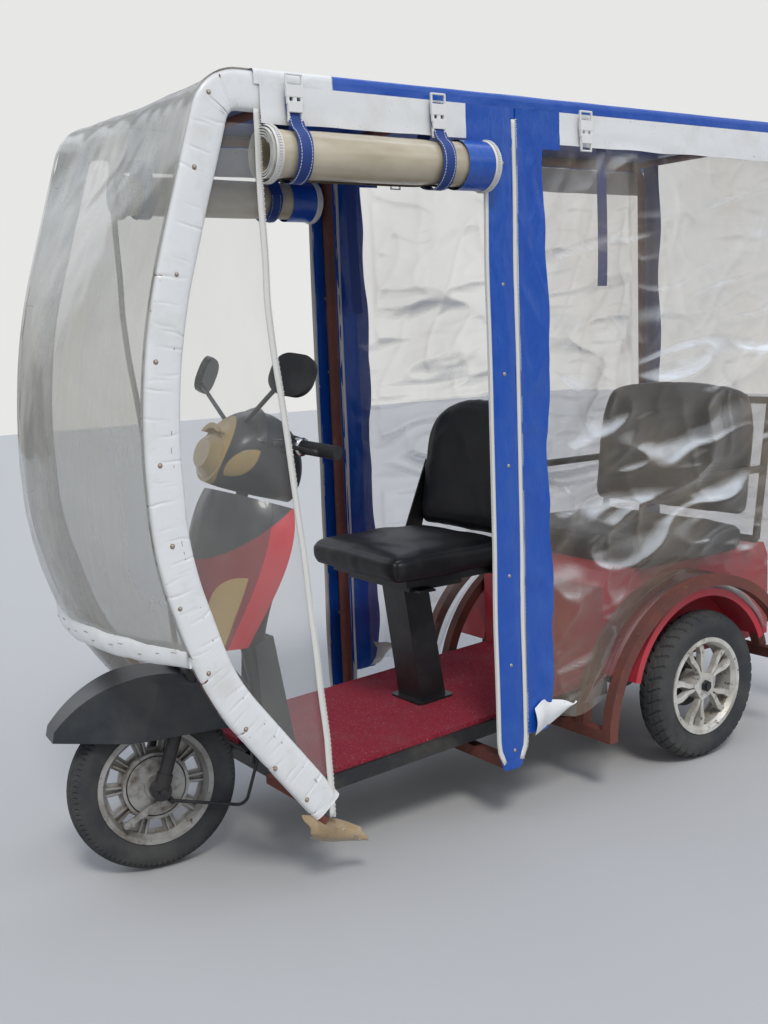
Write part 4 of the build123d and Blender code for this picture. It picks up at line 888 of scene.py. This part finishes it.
def add_curtain(name, side):
    seed = 3.0 if side > 0 else 11.0

    def curtain(u, v):
        x = between(CURTAIN_FRONT, CURTAIN_REAR, v)
        z = between(VALANCE_TOP, curtain_low(x), u)
        hang = min(1.0, (VALANCE_TOP - z) / 0.12) * min(1.0, (CURTAIN_FRONT - x) / 0.05 + 0.2)
        hang *= min(1.0, (x - CURTAIN_REAR) / 0.07)
        y = CABIN_HALF - 0.006 + fold_depth(x, z, seed) * hang
        near_guard = max(0.0, 1 - abs(hypot(x - GUARD_X, z - GUARD_Z) - GUARD_R) / 0.10)
        y += near_guard * (TUCKED_Y - y)
        y = max(y, CABIN_HALF + 0.001 - 0.3 * max(0.0, x - CURTAIN_REAR - 0.045))
        y = min(y, CURTAIN_REACH - 0.019 * clamp((x - 0.52) / 0.06))
        return at(x, side * y, z)

    def border(u, v):
        z = between(VALANCE_TOP, BORDER_LOW, u)
        wave = 0.005 * sin(z * 9.0) + 0.003 * sin(z * 27.0 + 1.0) + 0.005 * waves(0, 0, z, 5.0)
        x = between(BORDER_FRONT, BORDER_REAR + wave + 0.15 * max(0.0, 0.30 - z), v)
        out = 0.006 + 0.007 * v * waves(0, v * 0.2, z, 5.5, side + 2.0) + 0.003 * creases(0, v * 0.2, z, 8.0)
        return at(x, side * (CABIN_HALF + max(0.0005, out)), z)

    def tail(u, v):
        low, high = 0.226 + 0.062 * u ** 1.4, 0.296 + 0.014 * sin(5 * u)
        z = between(high, low, v) + 0.004 * sin(11 * u)
        out = 0.388 + 0.006 * sin(9 * u + 1) + 0.010 * sin(pi * v) * (1 - 0.5 * u)
        return at(0.668 - 0.150 * u, side * out, z)

    sheet = grid_sheet("curtain_" + name, 190, 170, curtain, "clear_vinyl")
    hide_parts("side_curtain_" + name)
    strip = grid_sheet("border_" + name, 170, 10, border, "blue_vinyl")
    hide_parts("curtain_border_" + name)
    tail_cloth = grid_sheet("curtain_tail_" + name, 26, 9, tail, "white_vinyl")


def add_back_curtain():
    low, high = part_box("back_curtain")

    def place(u, v):
        z = between(high.z - 0.002, 0.330, u)
        y = BACK_HALF * (2 * v - 1)
        hold = min(1.0, (high.z - z) / 0.15) * min(1.0, (BACK_HALF - abs(y)) / 0.05)
        return Vector((low.x + 0.0008 - 0.6 * fold_depth(y * 1.3, z, 23.0) * hold, y, z))

    sheet = grid_sheet("curtain_back", 150, 90, place, "clear_vinyl")
    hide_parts("back_curtain")
    for name, side in SIDES:
        def edge(u, v):
            z = between(high.z, 0.335, u) - 0.004
            y = 0.374 - 0.070 * v - 0.006 * v * sin(z * 17)
            return Vector((low.x - 0.004 - 0.003 * waves(0, v, z, 6.0), side * y, z))
        strip = grid_sheet("back_edge_" + name, 110, 7, edge, "blue_vinyl")


# Rolled-up doors
ROLL_R, ROLL_HOLLOW, ROLL_Z = 0.054, 0.034, 1.612
ROLL_TURNS, ROLL_START = 3.6, 0.6
ROLL_FRONT, ROLL_REAR = 1.360, 0.777
STRAP_X = (1.292, 0.922)
BLUE_BAND_X = (0.786, 0.866)
ROLL_ZIP_X = (("rear", 0.781), ("front", 1.352))
RING_SECTION = ((-0.009, 0.0006), (-0.004, 0.0022), (0.004, 0.0022), (0.009, 0.0006))


def winding(share):
    """Angle and radius of a door's winding, from 0 at its inner end to 1 at its outer end."""
    return 2 * pi * ROLL_TURNS * share + ROLL_START, between(ROLL_HOLLOW, ROLL_R - 0.0005, share)


def spokes(count):
    """Angles and directions round a roll."""
    angles = [2 * pi * k / count for k in range(count)]
    return [(a, Vector((0, cos(a), sin(a)))) for a in angles]


def add_roll(name, side):
    def place(u, v):
        angle, r = winding(u)
        x = between(ROLL_REAR, ROLL_FRONT, v)
        r += 0.0012 * waves(x * 2, cos(angle) * 0.4, sin(angle) * 0.4, 4.0, side) * u
        r *= 1 - sum(0.06 * exp(-((x - strap_x) / 0.03) ** 2) for strap_x in STRAP_X)
        fray = 0.006 * sin(angle * 3) if v > 0.98 else 0.0
        return at(x + fray, side * (CABIN_HALF + r * cos(angle)), ROLL_Z + r * sin(angle))

    roll = grid_sheet("roll_" + name, 150, 34, place, "tan_vinyl")
    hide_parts("door_roll_" + name)
    centre = at(0, side * CABIN_HALF, ROLL_Z)
    points = [centre + Vector((x, 0, 0)) + out * (ROLL_R + 0.0012)
              for x in BLUE_BAND_X for a, out in spokes(40)]
    band = add_mesh("roll_blue_" + name, points, grid_faces(2, 40, wrap=True), "blue_vinyl")
    # Zip tape wound at both ends
    for label, x in ROLL_ZIP_X:
        middle = centre + Vector((x, 0, 0))
        points = [middle + Vector((dx, 0, 0)) + out * (ROLL_R + 0.0010 + lift)
                  for dx, lift in RING_SECTION for a, out in spokes(60)]
        tape = f"roll_zip_{label}_{name}"
        add_mesh(tape, points, grid_faces(len(RING_SECTION), 60, wrap=True), "zip_white")
        places = [Matrix.Translation(middle + out * (ROLL_R + 0.004)) @ Matrix.Rotation(a, 4, "X")
                  for a, out in spokes(64)]
        boxes(tape + "_teeth", places, (0.0085, 0.0030, 0.0030), "zip_white")
    # Teeth on the edge of each winding at the front end
    places = []
    for share in np.linspace(0, 1, 420):
        angle, r = winding(share)
        spot = at(ROLL_FRONT + 0.002, side * (CABIN_HALF + r * cos(angle)), ROLL_Z + r * sin(angle))
        places.append(Matrix.Translation(spot)
                      @ Matrix.Rotation(-angle if side > 0 else angle + pi, 4, "X"))
    boxes("roll_teeth_" + name, places, (0.008, 0.0026, 0.0022), "zip_white")


# Straps round the rolls. Each goes down from the roof's edge, under the roll and back up inside;
# its line is given as the distance from the cabin's side and the height
STRAP_R = ROLL_R + 0.0035
STRAP_TURNS = [radians(60 - 12 * k) for k in range(22)]
STRAP_LINE = ([(0.012, 1.742), (0.013, 1.700), (0.022, 1.672)]
              + [(STRAP_R * cos(a), ROLL_Z + STRAP_R * sin(a)) for a in STRAP_TURNS]
              + [(-0.030, 1.690), (-0.014, 1.735)])


def add_straps():
    points, faces, places = [], [], []
    forward = Vector((1, 0, 0))
    for side, x in [(side, x) for side in (1, -1) for x in STRAP_X]:
        line = [Vector((0, side * (CABIN_HALF + out), z)) for out, z in STRAP_LINE]
        dense = resampled(line, 60)
        faces += grid_faces(len(dense), 4, offset=len(points))
        for k, p in enumerate(dense):
            for dx in (-0.018, -0.006, 0.006, 0.018):
                points.append(at(x + dx + 0.002 * sin(k * 0.4), p.y, p.z))
        # White stitches along both edges
        for edge in (-0.0125, 0.0125):
            for p, ahead in along(line[:-2], 0.0065):
                out = ahead.cross(forward).normalized()
                out = out if out.y * side + 0.2 * out.z > 0 else -out
                turn = Matrix((ahead, forward, out)).transposed().to_4x4()
                places.append(Matrix.Translation(at(x + edge, p.y, p.z) + out * 0.0006) @ turn)
    straps = add_mesh("straps", points, faces, "strap_blue", slot="blue_vinyl")
    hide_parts("door_straps")
    boxes("strap_stitches", places, (0.0042, 0.0012, 0.0012), "zip_white")


# White side-release buckles: two halves with prongs and a web bar at each end
BUCKLE_PARTS = [((0, 0, 0.014), (0.040, 0.008, 0.024)), ((0, 0, -0.017), (0.034, 0.009, 0.022)),
                ((0, 0, -0.002), (0.010, 0.006, 0.016)), ((0, 0, 0.047), (0.040, 0.006, 0.004)),
                ((0, 0, -0.045), (0.036, 0.006, 0.004))]
for x in (-1, 1):
    BUCKLE_PARTS += [((x * 0.016, 0, -0.003), (0.006, 0.007, 0.018)),
                     ((x * 0.0185, 0, 0.036), (0.004, 0.006, 0.024)),
                     ((x * 0.016, 0, -0.036), (0.004, 0.006, 0.020))]
BUCKLES = (("front", 1.292, 1.722), ("middle", 0.922, 1.712), ("rear", 0.470, 1.706))


def add_buckles(name, side):
    for label, x, z in BUCKLES:
        middle = at(x, side * (CABIN_HALF + 0.017), z)
        places = [Matrix.Translation(middle + Vector(offset)) @ Matrix.Diagonal((*size, 1))
                  for offset, size in BUCKLE_PARTS]
        buckle = boxes(f"buckle_{label}_{name}", places, (1, 1, 1), "buckle_white")
        bevel = buckle.modifiers.new("edges", "BEVEL")
        bevel.width = 0.0012
        bevel.segments = 2


# Free straps that hang inside the cabin
def add_hanging_strap(label, x, y, top, length, sway):
    def place(u, v):
        return at(x + 0.034 * (v - 0.5) + 0.010 * sin(3 * u + sway), y + 0.014 * sin(2.2 * u + sway),
                  top - length * u)

    strap = grid_sheet("strap_inside_" + label, 24, 4, place, "strap_blue", slot="blue_vinyl")


# Seats: stuffed vinyl cushions with piping and wrinkles
def rounded_box(half, radius, cells, shape=None):
    """Points and faces of a box with round edges; shape moves each point."""
    index, points, faces = {}, [], []

    def vertex(q):
        key = tuple(round(c, 5) for c in q)
        if key not in index:
            inner = [max(-(h - radius), min(h - radius, c * h)) for c, h in zip(q, half)]
            out = Vector([c * h - i for c, h, i in zip(q, half, inner)])
            p = Vector(inner) + (out.normalized() * radius if out.length > 1e-9 else out)
            index[key] = len(points)
            points.append(shape(p, q) if shape else p)
        return index[key]

    for axis in range(3):
        a, b = (axis + 1) % 3, (axis + 2) % 3
        for sign, i, j in [(s, i, j) for s in (-1, 1) for i in range(cells[a]) for j in range(cells[b])]:
            quad = []
            for di, dj in ((0, 0), (1, 0), (1, 1), (0, 1)):
                q = [0.0, 0.0, 0.0]
                q[axis] = sign
                q[a] = -1 + 2 * (i + di) / cells[a]
                q[b] = -1 + 2 * (j + dj) / cells[b]
                quad.append(vertex(q))
            faces.append(tuple(quad[::sign]))
    return points, faces


def add_cushion(name, node, tilt, radius, crown, dish, seed, round_top=0.0, drop=0.0):
    """Cushion in place of a node, whose box is that of the tilted cushion. Its face swells by crown
    and is hollowed by dish; round_top rounds a backrest's upper corners and drop lowers its foot."""
    low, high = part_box(node)
    centre, size = (low + high) / 2, high - low
    turn = Matrix.Rotation(radians(tilt), 4, "Y")
    c, s = cos(radians(tilt)), abs(sin(radians(tilt)))
    deep = (size.x * c - size.z * s) / (c * c - s * s)
    tall = (size.z * c - size.x * s) / (c * c - s * s)
    half = (deep / 2, size.y / 2, tall / 2)
    # The axis that the carrying face looks along, and the two others
    flat, a, b = (0, 1, 2) if tilt else (2, 0, 1)

    def shape(p, q):
        u, v, face = p[a] / half[a], p[b] / half[b], q[flat]
        moved, height = p.copy(), p.z / half[2]
        if round_top and height > 0:
            moved.y *= 1 - round_top * height ** 3
            moved.z -= round_top * half[2] * 0.9 * abs(p.y / half[1]) ** 2.5 * height
        if height < 0:
            moved.z -= drop * height ** 2
        # The face that carries the rider is full and dished, its edge is pinched by the welt
        front = max(0.0, face)
        full = (front - 0.3 * max(0.0, -face)) * crown * max(0.0, 1 - u * u) * max(0.0, 1 - v * v)
        hollow = front * dish * exp(-((u + 0.05) / 0.55) ** 2 - (v / 0.5) ** 2)
        wrinkle = 0.0032 * (waves(p.x, p.y, p.z, 8.0, seed) + creases(p.x, p.y * 0.6, p.z, 9.0, seed + 3))
        rim = exp(-((abs(u) - 0.88) / 0.05) ** 2) + exp(-((abs(v) - 0.88) / 0.05) ** 2)
        pinch = 0.0030 * min(1.0, rim) * front ** 4
        moved[flat] += full - hollow - pinch + wrinkle * face - 0.55 * crown * front
        # The side walls bulge and gather
        gather = 0.0026 * waves(p.x * 1.6, p.y * 1.6, p.z * 0.5, 17.0, seed + 6) * (1.0 - face * face)
        for k in (a, b):
            if abs(q[k]) > 0.99:
                moved[k] -= copysign(0.0030 - gather, q[k])
        return moved

    points, faces = rounded_box(half, radius, (10, 44, 40) if tilt else (40, 44, 10), shape)
    cushion = add_mesh("soft_" + name, [centre + turn @ p for p in points], faces, "seat_vinyl")
    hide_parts(node)


# Hand controls: a chrome collar and a black switch box inboard of each grip. The grip's inner end
# and direction are in the steering frame; the collar is given as places along the bar and radii
GRIP_END, GRIP_AHEAD = Vector((-0.025, 0.240, 0.850)), Vector((-0.045, 0.095, 0)).normalized()
COLLAR = ((-0.020, 0.0170), (-0.019, 0.0200), (-0.004, 0.0200), (-0.003, 0.0215), (0.001, 0.0215))
SWITCH_BOX = ((0.021, 0.015, 0.023), 0.008, (8, 6, 8))


def add_controls(name, side):
    def on_bar(distance):
        """Place that lies a distance outboard of the grip's inner end."""
        x, y, z = GRIP_END + GRIP_AHEAD * distance
        return steering_point(x, side * y, z)

    axis = (on_bar(COLLAR[-1][0]) - on_bar(COLLAR[0][0])).normalized()
    rings = [round_points(on_bar(distance), axis, radius, 28) for distance, radius in COLLAR]
    add_capped("bar_collar_" + name, sum(rings, []), 28, "bar_chrome", "steering")
    points, faces = rounded_box(*SWITCH_BOX)
    offset = on_bar(-0.036) - steering_point(0, 0, 0)
    add_mesh("switch_box_" + name, [offset + steering_point(*p) for p in points], faces,
             "black_plastic", "steering")


# Tyres with tread cut into the CAD tyre's outline
RINGS, CROWN_STEPS = 360, 26
BEAD_R, RIM_R, FLANGE_R = 0.128, 0.129, 0.140
TREAD_ROUND = 0.015
# Radius, half of the width and kind of tread
FRONT_TYRE = (FRONT_TYRE_R, 0.039, "zigzag")
REAR_TYRE = (0.2135, 0.042, "blocks")
BOLT_CIRCLE_R, BOLT_Y = 0.026, 0.0255
joints = {j["name"]: j for j in frame["joints"]}


def tyre_profile(radius, half):
    """Outline as distances from the axle and along it, from one bead over the tread to the other."""
    wall, shoulder = between(BEAD_R, radius, 0.52), radius - TREAD_ROUND
    near = [(RIM_R, half - 0.009), (FLANGE_R, half - 0.009), (wall - 0.010, half - 0.0022),
            (wall, half - 0.0008), (wall + 0.010, half - 0.0014), (shoulder - 0.004, half - 0.005),
            (shoulder, half - 0.006)]
    crown = []
    for k in range(CROWN_STEPS + 1):
        v = 1 - 2 * k / CROWN_STEPS
        crown.append((radius - TREAD_ROUND * abs(v) ** 2.2, v * (half - 0.006)))
    return near + crown + [(r, -y) for r, y in reversed(near)]


def tread_cut(kind, i, v):
    """Depth of the tread's grooves on ring i, at v from -1 to 1 across the tread."""
    if kind == "zigzag":
        phase = (i * 45 / RINGS) % 1.0
        bend = 0.10 * (abs(phase - 0.5) * 2 - 0.5)
        if abs(v) > 0.62 and (phase + 0.35 * abs(v)) % 0.5 < 0.13:
            return 0.0045
        return 0.0040 if min(abs(v - line - bend) for line in (0.0, 0.42, -0.42)) < 0.055 else 0.0
    phase = (i * 40 / RINGS + (0.5 if v > 0 else 0.0) + 0.6 * abs(v)) % 1.0
    if 0.40 < abs(v) < 0.48 or abs(v) < 0.05:
        return 0.0042
    return 0.0050 if phase < 0.24 and abs(v) > 0.12 else 0.0


def add_tyre(node, body, joint, radius, half, kind):
    centre, axle = Vector(joints[joint]["pos_m"]), Vector(joints[joint]["axis"]).normalized()
    side = axle.orthogonal().normalized()
    up = axle.cross(side)
    profile, points, faces = tyre_profile(radius, half), [], []
    columns = len(profile)
    for i in range(RINGS):
        a = 2 * pi * i / RINGS
        out = side * cos(a) + up * sin(a)
        here, following = i * columns, (i + 1) % RINGS * columns
        for j, (r, y) in enumerate(profile):
            v = y / (half - 0.006)
            cut = tread_cut(kind, i, v) if r > radius - TREAD_ROUND - 0.0015 else 0.0
            ring = 0.0007 if radius * 0.80 < r < radius * 0.86 and abs(v) > 0.9 else 0.0
            points.append(centre + axle * (y - copysign(ring, y)) + out * (r - cut))
            m = (j + 1) % columns
            faces.append((here + j, following + j, following + m, here + m))
    tyre = add_mesh("tread_" + node, points, faces, "tyre_rubber", body, smooth=False)
    # The walls are smooth, the tread is sharp
    for polygon in tyre.data.polygons:
        polygon.use_smooth = not 5 <= polygon.index % columns <= columns - 8
    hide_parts(node)


def add_rear_tyre(name, side):
    add_tyre("rear_tyre_" + name, "rear_wheel_" + name, f"rear_{name}_wheel_spin", *REAR_TYRE)


def add_hub_bolts(name, side):
    centre = Vector(joints[f"rear_{name}_wheel_spin"]["pos_m"])
    turns = [2 * pi * (k + 0.5) / 5 for k in range(5)]
    spots = [centre + Vector((BOLT_CIRCLE_R * cos(a), side * BOLT_Y, BOLT_CIRCLE_R * sin(a))) for a in turns]
    domes("hub_bolts_" + name, spots, (0, side, 0), 0.005, 0.004, "rivet", "rear_wheel_" + name)


# Light and ground. The object mirrors a sky that is bright above, with dark and pale patches of a
# street below; the camera sees one pale tone behind it
SKY = ((0.0, (0.20, 0.19, 0.18)), (1.0, (0.85, 0.95, 1.15)), (0.46, (0.30, 0.28, 0.26)),
       (0.52, (0.34, 0.33, 0.32)), (0.60, (0.55, 0.56, 0.58)), (0.72, (0.95, 1.0, 1.08)))
SEEN_SKY = (0.80, 0.80, 0.79)
GROUND_HALF = 14.0


def add_sky():
    world = bpy.data.worlds.new("sky")
    bpy.context.scene.world = world
    world.use_nodes = True
    sky = Nodes(world.node_tree, "Generated")
    ramp = sky.node("ShaderNodeValToRGB")
    stops = ramp.color_ramp.elements
    for k, (place, colour) in enumerate(SKY):
        # A new ramp has its first and last stop
        stop = stops[k] if k < 2 else stops.new(place)
        stop.color = (*colour, 1)
    sky.give(ramp.inputs["Fac"], sky.limits(sky.axis("Z"), -1.0, 1.0))
    shade = sky.node("ShaderNodeVectorMath", operation="SCALE")
    sky.give(shade.inputs[0], ramp.outputs["Color"])
    sky.give(shade.inputs["Scale"], sky.spots(3.2, 0.44, 0.56, detail=1.0, rough=0.5, to=(0.35, 1.60)))
    seen = sky.node("ShaderNodeLightPath").outputs["Is Camera Ray"]
    colour = sky.mix(seen, shade.outputs["Vector"], SEEN_SKY)
    sky.give(sky.tree.nodes["Background"].inputs["Color"], colour)


def add_light_and_ground():
    sun = bpy.data.lights.new("sun", "SUN")
    sun.energy = 1.6
    sun.angle = radians(14)
    sun.color = (1.0, 0.97, 0.92)
    lamp = bpy.data.objects.new("sun", sun)
    lamp.rotation_euler = (radians(-30), radians(24), radians(10))
    data = bpy.data.meshes.new("ground")
    corners = [(GROUND_HALF * x, GROUND_HALF * y, 0) for x, y in ((-1, -1), (1, -1), (1, 1), (-1, 1))]
    data.from_pydata(corners, [], [(0, 1, 2, 3)])
    ground = bpy.data.objects.new("ground", data)
    shader = Shader("ground", rough=0.95)
    shader.colour((0.42, 0.42, 0.42))
    # Clear from below, so that the underside can be looked at
    behind = shader.node("ShaderNodeNewGeometry").outputs["Backfacing"]
    shader.give(shader.inputs["Alpha"], shader.math("SUBTRACT", 1.0, behind))
    data.materials.append(shader.material)
    for o in (lamp, ground):
        bpy.context.scene.collection.objects.link(o)
    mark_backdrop(lamp, ground)


def on_both_sides(*makers):
    for add in makers:
        for name, side in SIDES:
            add(name, side)


on_both_sides(add_bow, add_quarter_panel)
add_windshield()
add_hem()
add_apron()
on_both_sides(add_foot_tail)
add_roof()
on_both_sides(add_valance, add_post_cover, add_curtain)
add_back_curtain()
on_both_sides(add_roll)
add_straps()
on_both_sides(add_buckles)
add_hanging_strap("front", 0.66, -0.352, 1.66, 0.36, 0.4)
add_hanging_strap("middle", 0.37, 0.345, 1.68, 0.34, 1.4)
add_hanging_strap("rear", -0.05, -0.350, 1.68, 0.62, 2.2)
add_cushion("driver_seat", "driver_cushion", 0, 0.036, 0.018, 0.014, 2.0)
add_cushion("driver_back", "driver_back", -9, 0.026, 0.012, 0.005, 5.0, round_top=0.30, drop=0.041)
add_cushion("bench_seat", "bench_cushion", 0, 0.036, 0.018, 0.010, 8.0)
add_cushion("bench_back", "bench_back", -8, 0.030, 0.014, 0.005, 12.0, round_top=0.14)
on_both_sides(add_controls)
add_tyre("front_tyre", "front_wheel", "front_wheel_spin", *FRONT_TYRE)
on_both_sides(add_rear_tyre, add_hub_bolts)
add_camera()
add_sky()
add_light_and_ground()
bpy.context.scene.view_settings.view_transform = "Standard"

size_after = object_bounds()
[[[float(c) for c in corner] for corner in b] for b in (size_before, size_after)]
